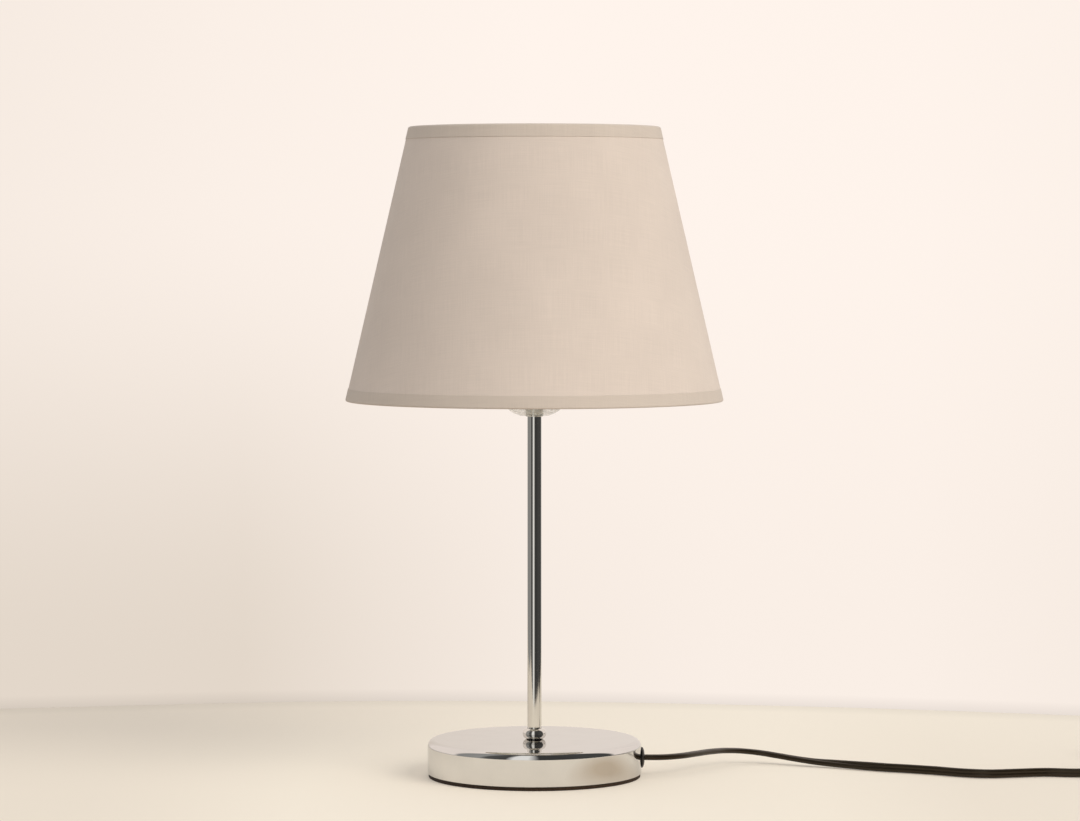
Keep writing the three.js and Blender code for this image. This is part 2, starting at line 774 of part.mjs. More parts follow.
// Bulb: contact tip, glass insulator, screw cap, body and frosted globe
function buildBulb() {
  addPiece('bulb_tip', turned([
    [0, bulbTipBottom],
    [bulbTipRadius * 0.75, bulbTipBottom],
    [bulbTipRadius, bulbTipBottom + bulbTipHeight / 2],
    [bulbTipRadius, bulbTipTop],
    [0, bulbTipTop],
  ], roundSmall), nickel);

  addPiece('bulb_insulator', turned([
    [0, bulbTipTop + seat],
    [bulbTipRadius + fit, bulbTipTop + seat],
    [bulbCapFootRadius - seat, insulatorTop],
    [0, insulatorTop],
  ], roundSmall), blackGlass);

  const capInside = bulbCapRadius - bulbCapWall;
  addPiece('bulb_cap', turned([
    [bulbCapFootRadius, capBottom],
    [bulbCapRadius, capBottom + bulbCapFootHeight],
    [bulbCapRadius, capTop],
    [capInside, capTop],
    [capInside, capBottom + bulbCapFootHeight + bulbCapWall / 2],
    [bulbCapFootRadius, capBottom + bulbCapWall * 1.5],
  ], roundSmall), nickel);

  const spigot = capInside - fit;
  addPiece('bulb_body', turned([
    [0, capTop - bulbSpigotLength],
    [spigot, capTop - bulbSpigotLength],
    [spigot, capTop + seat],
    [bulbBodyFootRadius, capTop + seat],
    [bulbBodyTopRadius, bulbBodyTop],
    [0, bulbBodyTop],
  ], roundSmall), whitePlastic);

  // The candle outline, as shares of the globe's radius and height.
  const candle = [[0.87, 0], [0.975, 0.16], [1, 0.31], [0.93, 0.52], [0.72, 0.75], [0.42, 0.92]];
  const outside = candle.map(([r, h]) => [r * bulbGlobeRadius, globeBottom + h * bulbGlobeHeight]);
  const inside = candle.map(([r, h]) => [
    r * bulbGlobeRadius - bulbGlassWall,
    globeBottom + h * (bulbGlobeHeight - bulbGlassWall),
  ]);
  const globeTop = globeBottom + bulbGlobeHeight;
  addPiece('bulb_globe', turned([
    [0, globeTop - bulbGlassWall],
    ...inside.reverse(),
    ...outside,
    [bulbTopRadius, globeTop - bulbGlassWall / 2],
    [0, globeTop],
  ], roundSmall), frostedGlass);
}

const shadeOutside = (z) => shadeBottomDiameter / 2 - shadeTaper * (z - shadeBottom);
const panelOutside = (z) => shadeOutside(z) - hemThickness - seat;
const panelInside = (z) => panelOutside(z) - panelWall;
const wireSlant = frameWireRadius * Math.hypot(1, shadeTaper);
const wireOffset = hemThickness + seat + frameWireRadius;

// Shade: stiffened fabric panel, hems, wire frame and fitter ring
function buildShade() {
  const low = shadeBottom + hemThickness + seat;
  const high = shadeTop - hemThickness - seat;
  addPiece('shade_panel', turned([
    [panelInside(low), low],
    [panelOutside(low), low],
    [panelOutside(high), high],
    [panelInside(high), high],
  ], roundFine), fabric);

  for (const [name, edge, inward] of [['bottom', shadeBottom, 1], ['top', shadeTop, -1]]) {
    const wireLevel = edge + inward * wireOffset;
    const wireCentre = panelInside(wireLevel) - seat - wireSlant;
    const inner = wireCentre - frameWireRadius - seat - hemThickness;
    const turn = edge + inward * hemThickness;
    const outerEnd = edge + inward * hemHeight;
    const innerEnd = edge + inward * hemInnerHeight;
    addPiece(`${name}_hem`, turned([
      [shadeOutside(edge), edge],
      [shadeOutside(outerEnd), outerEnd],
      [shadeOutside(outerEnd) - hemThickness, outerEnd],
      [shadeOutside(turn) - hemThickness, turn],
      [inner + hemThickness, turn],
      [inner + hemThickness, innerEnd],
      [inner, innerEnd],
      [inner, edge],
    ], roundFine), hemTape);
    addPiece(`${name}_ring`,
      turned(arc(wireCentre, wireLevel, frameWireRadius, 0, 300, 5), roundFine), whiteSteel);
  }

  const ringLevel = shadeBottom + wireOffset;
  const ringCentre = panelInside(ringLevel) - seat - wireSlant;
  const armEnd = ringLevel + frameWireRadius + armRadius + seat;
  const armLevel = fitterTop - armRadius;
  const start = fitterRadius + seat;
  for (let i = 0; i < armCount; i += 1) {
    const arm = new Route([
      [start, 0, armLevel],
      [start + armLevelLength, 0, armLevel],
      [start + armLevelLength + armBendLength, 0, armLevel - armRadius / 2],
      [ringCentre - armFootLength - armBendLength, 0, armEnd + armRadius / 2],
      [ringCentre - armFootLength, 0, armEnd],
      [ringCentre, 0, armEnd],
    ]);
    const angle = Math.PI / 2 + (2 * Math.PI * i) / armCount;
    addPiece(`shade_arm_${i + 1}`, drawn(arm, roundSection(armRadius, 6), 10).rotateZ(angle), whiteSteel);
  }

  addPiece('fitter_ring', ring(fitterBoreRadius, fitterRadius, fitterBottom, fitterTop), whiteSteel);

  const lockBottom = fitterTop + seat;
  addPiece('shade_lock_ring',
    ring(skirtThreadRadius + fit, lockRingRadius, lockBottom, lockBottom + lockRingHeight), milkyPlastic);
}

// Rocker switch: two shells, rocker on its pin, contacts, through wire and screws
function buildSwitch() {
  const at = (geometry) => geometry.translate(switchX, switchY, 0);
  const innerLength = switchLength - 2 * switchWall;
  const innerWidth = switchWidth - 2 * switchWall;
  const innerCorner = switchCornerRadius - switchWall;
  const outline = (grow) => roundedRectangle(
    switchLength + grow, switchWidth + grow, switchCornerRadius + grow / 2,
  );
  const hollow = (bottom, top) => new THREE.ExtrudeGeometry(
    roundedRectangle(innerLength, innerWidth, innerCorner),
    { depth: top - bottom, bevelEnabled: false, curveSegments: 3 },
  ).translate(0, 0, bottom);
  const half = (cordWidth + cordSlack) / 2;
  const cordHole = block(
    [-switchLength, -half, switchCordHeight - half],
    [switchLength, half, switchCordHeight + half],
  );
  const screwPlaces = [[-switchScrewReachX, switchScrewReachY], [switchScrewReachX, -switchScrewReachY]];
  const posts = (radius, bottom, top) => screwPlaces.map(([x, y]) => disc(radius, bottom, top, roundTiny)
    .translate(x, y, 0));

  const bevelled = {
    bevelEnabled: true, bevelSegments: 2, bevelSize: switchEdge, bevelThickness: switchEdge,
    curveSegments: 3,
  };
  const lump = new THREE.ExtrudeGeometry(outline(-2 * switchEdge), {
    ...bevelled, depth: switchTop - 2 * switchEdge,
  }).translate(0, 0, switchEdge);
  const above = block(
    [-switchLength, -switchWidth, switchBaseHeight],
    [switchLength, switchWidth, switchTop + past],
  );
  const below = block([-switchLength, -switchWidth, -past], [switchLength, switchWidth, switchSplit]);

  const headSeat = switchScrewHeadHeight + 2 * seat;
  const tray = cut(lump, above, hollow(switchWall, switchBaseHeight + past));
  const base = cut(
    join(tray, ...posts(switchBossRadius, switchWall / 2, switchBaseHeight)),
    cordHole,
    ...posts(switchScrewRadius + fit, -past, switchBaseHeight + past),
    ...posts(switchScrewHeadRadius + fit, -past, headSeat),
  );
  addPiece('switch_base', at(base), blackPlastic);

  const roofUnder = switchTop - switchWall;
  const windowLength = rockerLength + 2 * rockerGap;
  const windowWidth = rockerWidth + 2 * rockerSideGap;
  const window = block(
    [-windowLength / 2, -windowWidth / 2, roofUnder - past],
    [windowLength / 2, windowWidth / 2, switchTop + past],
  );
  const earInside = windowWidth / 2;
  const ears = [-1, 1].map((side) => {
    const near = Math.min(side * earInside, side * (earInside + rockerEarThickness));
    return block(
      [-rockerEarLength / 2, near, rockerPivotHeight - rockerEarDrop],
      [rockerEarLength / 2, near + rockerEarThickness, roofUnder + past],
    );
  });
  const pinReach = earInside + rockerEarThickness;
  const pinHole = rodY(rockerPinRadius + fit / 2, -pinReach - past, pinReach + past, 0, rockerPivotHeight,
    roundTiny);
  const lid = cut(lump, below, hollow(switchSplit - past, roofUnder));
  const cover = cut(
    join(lid, ...ears, ...posts(switchBossRadius, switchSplit, roofUnder + past)),
    window,
    cordHole,
    pinHole,
    ...posts(switchScrewRadius + fit, switchSplit - past, roofUnder - past),
  );
  addPiece('switch_cover', at(cover), blackPlastic);

  addPiece('rocker_pin',
    at(rodY(rockerPinRadius, -pinReach, pinReach, 0, rockerPivotHeight, roundTiny)), zinc);

  // The rocker is drawn level about its pivot, then tipped to its rest stop.
  const tip = (geometry) => at(geometry.rotateY(THREE.MathUtils.degToRad(-rockerTilt))
    .translate(0, 0, rockerPivotHeight));
  const end = rockerLength / 2;
  const crest = switchTop - rockerPivotHeight + end * Math.tan(THREE.MathUtils.degToRad(rockerTilt));
  const rocker = slab([
    [-end, crest - rockerEdge],
    [-end + rockerEdge, crest],
    [0, crest - rockerDish],
    [end - rockerEdge, crest],
    [end, crest - rockerEdge],
    [end - rockerEdge, rockerEndDepth],
    [rockerSoleLength / 2, -rockerSole],
    [-rockerSoleLength / 2, -rockerSole],
    [-end + rockerEdge, rockerEndDepth],
  ], -rockerWidth / 2, rockerWidth / 2);
  const bore = rodY(rockerPinRadius + fit / 2, -rockerWidth, rockerWidth, 0, 0, roundTiny);
  addPiece('switch_rocker', tip(cut(rocker, bore)), blackPlastic);

  const armTop = -rockerSole - seat;
  const y0 = contactY - contactWidth / 2;
  const y1 = contactY + contactWidth / 2;
  addPiece('contact_arm', tip(block(
    [-contactTail, y0, armTop - contactThickness],
    [contactReach, y1, armTop],
  )), bronze);

  const lean = Math.sin(THREE.MathUtils.degToRad(rockerTilt));
  const armUnder = rockerPivotHeight + armTop - contactThickness;
  const outTop = armUnder - contactReach * lean - fit;
  const inTop = armUnder - contactTail * lean - fit;
  const foot = switchWall + seat;
  const footTop = foot + contactFootHeight;
  const cordEnd = switchLength / 2 - switchCordDepth - fit;
  addPiece('contact_out', at(slab([
    [contactReach - contactPostWidth, foot],
    [cordEnd, foot],
    [cordEnd, footTop],
    [contactReach, footTop],
    [contactReach, outTop],
    [contactReach - contactPostWidth, outTop],
  ], y0, y1)), brass);
  addPiece('contact_in', at(slab([
    [-cordEnd, foot],
    [contactPostWidth - contactTail, foot],
    [contactPostWidth - contactTail, inTop],
    [-contactTail, inTop],
    [-contactTail, footTop],
    [-cordEnd, footTop],
  ], y0, y1)), brass);

  const through = new Route([
    [-cordEnd, coreSpacing / 2, switchCordHeight],
    [-cordEnd + 3, 2.2, switchCordHeight - 0.6],
    [-8, wireSwing - 0.4, 4.6],
    [0, wireSwing, 4.4],
    [8, wireSwing - 0.4, 4.6],
    [cordEnd - 3, 2.2, switchCordHeight - 0.6],
    [cordEnd, coreSpacing / 2, switchCordHeight],
  ]);
  addPiece('neutral_wire', at(drawn(through, roundSection(coreRadius, 6), 12)), neutralBlue);

  const screwTip = roofUnder - 2 * past;
  screwPlaces.forEach(([x, y], i) => {
    const screw = turned([
      [0, seat],
      [switchScrewHeadRadius, seat],
      [switchScrewHeadRadius, seat + switchScrewHeadHeight],
      [switchScrewRadius, seat + switchScrewHeadHeight],
      [switchScrewRadius, screwTip],
      [0, screwTip],
    ], roundTiny);
    addPiece(`switch_screw_${i + 1}`, at(screw.translate(x, y, 0)), zinc);
  });
}

// Plug: moulded body with its strain relief, and two pins
function buildPlug() {
  const level = plugThickness / 2;
  const side = plugWidth / 2 - plugEdge;
  const neck = plugNeckWidth / 2 - plugEdge;
  const outline = new THREE.Shape([
    [plugEdge, -side + plugCorner],
    [plugEdge + plugCorner, -side],
    [plugStraightLength, -side],
    [plugLength - plugTailLength, -neck - plugTailFlare],
    [plugLength - plugEdge, -neck],
    [plugLength - plugEdge, neck],
    [plugLength - plugTailLength, neck + plugTailFlare],
    [plugStraightLength, side],
    [plugEdge + plugCorner, side],
    [plugEdge, side - plugCorner],
  ].map(([x, y]) => new THREE.Vector2(x, y)));
  const shell = new THREE.ExtrudeGeometry(outline, {
    depth: plugThickness - 2 * plugEdge, bevelEnabled: true, bevelSegments: 2,
    bevelSize: plugEdge, bevelThickness: plugEdge,
  }).translate(0, 0, plugEdge);
  const relief = turned([
    [0, plugLength - plugTailLength],
    [reliefRootRadius, plugLength - plugTailLength],
    [reliefRootRadius, plugLength],
    [reliefEndRadius, plugLength + reliefLength],
    [0, plugLength + reliefLength],
  ], roundTiny).rotateY(Math.PI / 2).translate(0, 0, level);

  const lean = Math.atan((pinSpacing - pinTipSpacing) / 2 / pinLength);
  const placePin = (geometry, hand) => geometry.rotateZ(hand * -lean)
    .translate(0, (hand * pinSpacing) / 2, level);
  const holes = [-1, 1].map((hand) => placePin(
    rodX(pinRadius + fit / 2, -past, pinInBody + fit, 0, 0, roundTiny), hand,
  ));
  const at = (geometry) => geometry.translate(plugFaceX, plugY, 0);
  addPiece('plug_body', at(cut(join(shell, relief), ...holes)), blackPlastic);

  [-1, 1].forEach((hand, i) => {
    const pin = turned([
      [0, -pinLength],
      [pinNoseRadius, -pinLength],
      [pinRadius, -pinLength + pinNoseLength],
      [pinRadius, pinInBody],
      [0, pinInBody],
    ], roundTiny).rotateY(Math.PI / 2);
    addPiece(`plug_pin_${i + 1}`, at(placePin(pin, hand)), brass);
  });
}

/** The wound cord: inwards along the table, up where the spiral reverses, outwards again on top. */
class CoilCurve extends THREE.Curve {
  constructor(centre, level) {
    super();
    this.centre = centre;
    this.level = level;
    this.steps = coilTurns * coilStepsPerTurn + 2;
  }

  getUtoTmapping(u) {
    return u;
  }

  computeFrenetFrames(segments) {
    return carriedFrames(this, segments);
  }

  getPoint(t, target = new THREE.Vector3()) {
    const step = t * this.steps;
    const turn = THREE.MathUtils.clamp((step - 1) / coilStepsPerTurn, 0, coilTurns);
    const middle = coilTurns / 2;
    const climb = THREE.MathUtils.smoothstep(turn, middle - 0.25, middle + 0.25);
    const radius = coilInnerRadius + coilPitch * Math.abs(turn - middle);
    const angle = 2 * Math.PI * turn - Math.PI / 2;
    const before = Math.max(1 - step, 0) * cordWidth;
    const after = Math.max(step - this.steps + 1, 0) * cordWidth;
    return target.set(
      this.centre.x + radius * Math.cos(angle) - before - after,
      this.centre.y + radius * Math.sin(angle),
      this.level + coilLayerRise * climb,
    );
  }
}

/** The least clear distance between turns, measured on points along the wound cord. */
function leastGap(curve, width) {
  const points = curve.getSpacedPoints(curve.steps * 4);
  const apart = coilStepsPerTurn * 2;
  let least = Infinity;
  points.forEach((point, i) => {
    for (let j = i + apart; j < points.length; j += 1) {
      least = Math.min(least, point.distanceTo(points[j]));
    }
  });
  return least - width;
}

// Free cord: from the bush to the switch, on to the coil, and from the coil to the plug
function buildCord() {
  const section = roundSection(cordWidth / 2, 8);
  const start = coverRadius + seat + bushFlangeThickness + fit;
  const switchIn = switchX - switchLength / 2;
  const lead = new Route([
    [start, 0, cordExitHeight],
    [72, 0.4, 10.5],
    [82, 5.5, 10.5],
    [91, 16, 10.3],
    [99.5, 29, 9.7],
    [108.5, 41, 8.7],
    [118.5, 48.5, 7.5],
    [129.5, 50, 6.2],
    [140, 46.5, 4.9],
    [150, 41.5, 3.8],
    [160, 36.5, 3],
    [171, 31, 2.7],
    [184, 23.5, 2.6],
    [198, 15.5, 2.6],
    [212, 9.5, 2.6],
    [226, 2.5, 2.6],
    [240, -6, 2.6],
    [254, -10, 2.6],
    [270, -7, 2.6],
    [286, -4, 2.6],
    [304, -6.5, 2.6],
    [318, -8, 3.4],
    [switchIn - 6, switchY, switchCordHeight],
    [switchIn + switchCordDepth, switchY, switchCordHeight],
  ]);
  addPiece('cord_lead', drawn(lead, section, 36), blackCord);

  const coilLevel = tieThickness + 2 * seat + tieGap + cordWidth / 2;
  const centre = new THREE.Vector2(coilX, switchY + coilOuterRadius);
  const coilStart = coilX - cordWidth - fit;
  const switchOut = switchX + switchLength / 2;
  const link = new Route([
    [switchOut - switchCordDepth, switchY, switchCordHeight],
    [switchOut + 6, switchY, switchCordHeight],
    [switchOut + 14, switchY, 5.4],
    [switchOut + 22, switchY, coilLevel + 0.4],
    [coilStart - cordWidth, switchY, coilLevel],
    [coilStart, switchY, coilLevel],
  ]);
  addPiece('cord_link', drawn(link, section, 8), blackCord);

  const coil = new CoilCurve(centre, coilLevel);
  console.log(`least gap between coil turns ${leastGap(coil, cordWidth).toFixed(2)} mm`);
  addPiece('cord_coil', drawn(coil, roundSection(cordWidth / 2, coilSides), coil.steps), blackCord);

  const plugIn = plugFaceX + plugLength + reliefLength + fit;
  const topLevel = coilLevel + coilLayerRise;
  const tail = new Route([
    [coilStart, plugY, topLevel],
    [coilStart - cordWidth, plugY, topLevel],
    [(coilStart + plugIn) / 2, plugY, (topLevel + plugThickness / 2) / 2],
    [plugIn + cordWidth, plugY, plugThickness / 2],
    [plugIn, plugY, plugThickness / 2],
  ]);
  addPiece('cord_tail', drawn(tail, section, 8), blackCord);

  // The tie is a flat band round the bundle, at the side of the coil away from the lamp.
  const gap = cordWidth / 2 + tieGap;
  const box = (grow, width) => block(
    [coilInnerRadius - gap - grow, -width / 2, coilLevel - gap - grow],
    [coilOuterRadius + gap + grow, width / 2, topLevel + gap + grow],
  );
  const band = cut(box(tieThickness, tieWidth), box(0, tieWidth + 2 * past));
  addPiece('cord_tie', band.translate(centre.x, centre.y, 0), blackPlastic);
}

buildBase();
buildStem();
buildCordEntry();
buildHolder();
buildBulb();
buildShade();
buildSwitch();
buildPlug();
buildCord();

export default lamp;
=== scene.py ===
"""Looks of a small table lamp: tapered fabric shade, thin plated stem, round plated base, flat twin cord.

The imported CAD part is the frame. Each piece here is made in millimetres and settled in metres where
the CAD has it. The camera, the floor and the cords come first, then the lamp from the base upwards.
"""

import logging
import math
from collections.abc import Callable, Sequence
from dataclasses import Field, dataclass, field
from enum import Enum
from functools import reduce

import bmesh
import bpy
from bmesh.types import BMesh
from mathutils import Matrix, Vector


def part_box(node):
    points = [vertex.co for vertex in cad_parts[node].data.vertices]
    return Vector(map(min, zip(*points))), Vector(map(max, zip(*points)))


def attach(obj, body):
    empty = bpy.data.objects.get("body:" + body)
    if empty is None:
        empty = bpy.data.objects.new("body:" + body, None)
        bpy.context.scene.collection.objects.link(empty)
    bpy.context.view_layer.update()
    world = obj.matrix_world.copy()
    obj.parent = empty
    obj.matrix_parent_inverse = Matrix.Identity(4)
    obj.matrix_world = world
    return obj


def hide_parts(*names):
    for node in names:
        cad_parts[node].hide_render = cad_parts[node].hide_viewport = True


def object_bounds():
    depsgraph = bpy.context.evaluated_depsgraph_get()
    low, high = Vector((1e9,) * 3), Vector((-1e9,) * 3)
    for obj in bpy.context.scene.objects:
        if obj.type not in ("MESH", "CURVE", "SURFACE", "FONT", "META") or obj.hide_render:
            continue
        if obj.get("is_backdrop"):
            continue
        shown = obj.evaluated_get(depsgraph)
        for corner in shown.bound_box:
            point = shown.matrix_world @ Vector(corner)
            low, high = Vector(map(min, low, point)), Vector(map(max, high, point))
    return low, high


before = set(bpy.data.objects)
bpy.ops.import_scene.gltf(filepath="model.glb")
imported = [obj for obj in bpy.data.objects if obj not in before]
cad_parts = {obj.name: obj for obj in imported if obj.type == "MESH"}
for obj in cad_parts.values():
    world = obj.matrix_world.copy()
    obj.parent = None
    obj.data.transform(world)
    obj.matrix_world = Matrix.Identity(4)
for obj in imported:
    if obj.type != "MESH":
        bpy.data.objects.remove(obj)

log = logging.getLogger("table_lamp")

MM = 0.001
WELD = 1e-4
FULL_TURN = 2 * math.pi
LIP = 0.02  # millimetres that a flat rim slopes, so that its two loops are bridged the right way round

Colour = tuple[int, int, int]
Corner = tuple[float, ...]
Point = tuple[float, float, float]
Socket = bpy.types.NodeSocket
Object = bpy.types.Object
Given = Socket | float | Corner

BLACK: Corner = (0.0, 0.0, 0.0, 1.0)


class Body(Enum):
    """The bodies of the lamp that move as one."""

    LAMP = "root"
    SHADE = "shade"
    LOCK_RING = "lock_ring"
    BULB = "bulb"
    ROCKER = "rocker"


class Slot(Enum):
    """The record's material slots."""

    CHROME = "chrome_plate"
    ZINC = "zinc_steel"
    WEIGHT = "cast_weight"
    BOARD = "fibreboard"
    FOAM = "black_foam"
    BLACK_PLASTIC = "black_plastic"
    SHEATH = "cord_sheath"
    MILKY = "milky_plastic"
    CERAMIC = "white_ceramic"
    BRASS = "brass_metal"
    BRONZE = "spring_bronze"
    NICKEL = "nickel_plate"
    LIVE = "live_insulation"
    NEUTRAL = "neutral_insulation"
    WHITE_PLASTIC = "white_plastic"
    FROSTED = "frosted_glass"
    BLACK_GLASS = "black_glass"
    CLOTH = "shade_fabric"
    HEM = "hem_tape"
    WHITE_WIRE = "white_wire"


def linear(colour: Colour) -> Corner:
    """Turns a display colour into the shader's own scale.

    Args:
        colour: Red, green and blue from 0 to 255.

    Returns:
        Red, green, blue and a full alpha, linear.
    """
    shares = [value / 255 for value in colour]
    red, green, blue = (s / 12.92 if s <= 0.04045 else ((s + 0.055) / 1.055) ** 2.4 for s in shares)
    return red, green, blue, 1.0


def dimmed(colour: Corner, share: float) -> Corner:
    """A linear colour, darker by a share."""
    return (*(value * (1 - share) for value in colour[:3]), 1.0)


def in_metres(lengths: Corner) -> Corner:
    """Turns lengths in millimetres into metres."""
    return tuple(length * MM for length in lengths)


# Nodes


class Graph:
    """The nodes of a material or of the world, with the joins that the looks share."""

    def __init__(self, owner: bpy.types.Material | bpy.types.World) -> None:
        """Clears the owner's nodes.

        Args:
            owner: The material or the world.
        """
        owner.use_nodes = True
        self.owner = owner
        self.tree = owner.node_tree
        self.tree.nodes.clear()

    def node(self, kind: str, *fed: tuple[str | int, Given]) -> bpy.types.Node:
        """Adds a node and feeds its inputs.

        Args:
            kind: The node's kind, such as Math.
            fed: Inputs by name or place, each with an output to link or a plain value.

        Returns:
            The node.
        """
        made = self.tree.nodes.new(f"ShaderNode{kind}")
        for place, value in fed:
            self.feed(made.inputs[place], value)
        return made

    def feed(self, target: Socket, value: Given) -> None:
        """Links an output to an input, or sets a plain value.

        Args:
            target: The input.
            value: An output, a number or a colour.
        """
        if isinstance(value, Socket):
            self.tree.links.new(value, target)
        else:
            target.default_value = value

    def calc(self, operation: str, first: Given, second: Given = 0.0) -> Socket:
        """Adds a Math node.

        Args:
            operation: The node's operation, such as MULTIPLY.
            first: Its first input.
            second: Its second input, where it has one.

        Returns:
            The result.
        """
        made = self.node("Math", (0, first), (1, second))
        made.operation = operation
        return made.outputs[0]

    def ranged(
        self, value: Socket, span: Corner, target: Corner = (0.0, 1.0), smooth: bool = False
    ) -> Socket:
        """Maps a value from one range onto another, and holds it at the ends.

        Args:
            value: The value.
            span: Where its range starts and ends.
            target: What it becomes at either end.
            smooth: Whether it starts and ends gently.

        Returns:
            The mapped value.
        """
        limits = zip(("From Min", "From Max", "To Min", "To Max"), (*span, *target))
        made = self.node("MapRange", ("Value", value), *limits)
        if smooth:
            made.interpolation_type = "SMOOTHSTEP"
        return made.outputs["Result"]

    def blend(self, share: Given, first: Given, second: Given) -> Socket:
        """Mixes two colours.

        Args:
            share: How much of the second one shows, 0 to 1.
            first: A colour or a socket.
            second: A colour or a socket.

        Returns:
            The mixed colour.
        """
        made = self.node("Mix")
        made.data_type = "RGBA"
        for place, value in ((0, share), (6, first), (7, second)):
            self.feed(made.inputs[place], value)
        return made.outputs[2]

    def ramp(self, value: Socket, stops: Sequence[tuple[float, Corner]]) -> Socket:
        """Turns a value into a colour.

        Args:
            value: The value, from 0 to 1.
            stops: Places from 0 to 1, rising, each with its linear colour.

        Returns:
            The colour.
        """
        made = self.node("ValToRGB", ("Fac", value))
        elements = made.color_ramp.elements
        while len(elements) < len(stops):
            elements.new(1.0)
        for element, (place, colour) in zip(elements, stops):
            element.position = place
            element.color = colour
        return made.outputs["Color"]

    def parts(self, vector: Socket) -> tuple[Socket, ...]:
        """Takes a vector apart into its X, Y and Z."""
        return tuple(self.node("SeparateXYZ", ("Vector", vector)).outputs)

    def largest(self, *values: Socket) -> Socket:
        """Takes the largest of some values."""
        return reduce(lambda one, two: self.calc("MAXIMUM", one, two), values)


class Surface(Graph):
    """The nodes of one material on Object coordinates."""

    def __init__(self, name: str) -> None:
        """Makes the material."""
        super().__init__(bpy.data.materials.new(name))
        self.place = self.node("TexCoord").outputs["Object"]

    def show(self, shader: Socket) -> None:
        """Makes a shader the material's surface."""
        self.node("OutputMaterial", ("Surface", shader))


class Coat(Surface):
    """One material with a Principled shader, and the patterns that the finishes share."""

    CLOUD_RANGE = (0.3, 0.7)  # where nearly all of a cloudy pattern's values lie

    def __init__(self, name: str) -> None:
        """Makes the material and its shader.

        Args:
            name: The material's name.
        """
        super().__init__(name)
        self.shader = self.node("BsdfPrincipled")
        self.show(self.shader.outputs["BSDF"])

    def coat(self, socket: str, value: Given) -> None:
        """Links a pattern to one of the shader's inputs, or sets a plain value."""
        self.feed(self.shader.inputs[socket], value)

    def noise(self, size: float, detail: float = 2.0, vector: Socket | None = None) -> Socket:
        """Adds a cloudy pattern.

        Args:
            size: How big a cloud is, in millimetres.
            detail: Octaves of finer clouds inside it.
            vector: Coordinates in metres, the piece's own where none are given.

        Returns:
            A value around 0.5.
        """
        where = ("Vector", vector or self.place)
        return self.node("TexNoise", ("Scale", 1 / (size * MM)), ("Detail", detail), where).outputs["Fac"]

    def spread(self, value: Socket, low: float, high: float) -> Socket:
        """Maps a cloudy value onto a range."""
        return self.ranged(value, self.CLOUD_RANGE, (low, high))

    def stretched(self, vector: Socket, scale: Point) -> Socket:
        """Scales a pattern's coordinates along each axis."""
        return self.node("Mapping", ("Vector", vector), ("Scale", scale)).outputs["Vector"]

    def relief(self, height: Socket, depth: float) -> None:
        """Raises the surface by a pattern, as deep as a number of millimetres."""
        bump = self.node("Bump", ("Distance", depth * MM), ("Height", height))
        self.coat("Normal", bump.outputs["Normal"])


# Finishes


@dataclass(frozen=True)
class Finish:
    """A hard surface whose colour wanders a little, with a fine grain in its gloss and relief."""

    name: str
    slot: Slot
    colour: Colour
    roughness: float
    metallic: float = 0.0
    wander: float = 0.08  # how much darker its patches are
    patch: float = 18.0  # millimetres
    grain: float = 0.5  # millimetres
    depth: float = 0.01  # millimetres
    uneven: float = 0.05  # how far the roughness strays
    fixed: tuple[tuple[str, float | Corner], ...] = ()  # other sockets of the shader

    def material(self) -> bpy.types.Material:
        """Makes the material once, and finds the same one after that.

        Returns:
            The material.
        """
        made = bpy.data.materials.get(self.name)
        if made is None:
            graph = Coat(self.name)
            graph.coat("Metallic", self.metallic)
            for socket, value in self.fixed:
                graph.coat(socket, value)
            self.dress(graph)
            made = graph.owner
        return made

    def shades(self) -> tuple[Corner, Corner]:
        """The finish's own colour, and the same one in its darker patches."""
        bright = linear(self.colour)
        return bright, dimmed(bright, self.wander)

    def dress(self, graph: Coat) -> None:
        """Joins the patches, the gloss and the relief.

        Args:
            graph: The material's nodes.
        """
        clouds = graph.noise(self.patch, 3)
        graph.coat("Base Color", graph.blend(graph.spread(clouds, 0, 1), *self.shades()))
        low = max(self.roughness - self.uneven, 0.02)
        rubbed = graph.noise(self.patch * 0.6, 4)
        graph.coat("Roughness", graph.spread(rubbed, low, self.roughness + self.uneven))
        graph.relief(graph.noise(self.grain, 2), self.depth)


@dataclass(frozen=True)
class Plating(Finish):
    """Mirror-bright plating over a pressing that isn't quite flat."""

    swell: float = 30.0  # millimetres from one faint wave to the next
    swell_depth: float = 0.02  # millimetres
    grazing: float = 1.0  # how much of the mirror is left at a low angle

    def dress(self, graph: Coat) -> None:
        """Adds the pressing's faint waves, and a haze as of handling.

        Args:
            graph: The material's nodes.
        """
        graph.coat("Specular Tint", (self.grazing, self.grazing, self.grazing, 1.0))
        clouds = graph.noise(self.patch, 4)
        graph.coat("Base Color", graph.blend(graph.spread(clouds, 0, 1), *self.shades()))
        haze = graph.noise(self.patch * 0.5, 5)
        graph.coat("Roughness", graph.spread(haze, self.roughness, self.roughness + self.uneven))
        waves = graph.calc("MULTIPLY", graph.noise(self.swell, 1), self.swell_depth)
        fine = graph.calc("MULTIPLY", graph.noise(self.grain, 2), self.depth)
        graph.relief(graph.calc("ADD", waves, fine), 1.0)


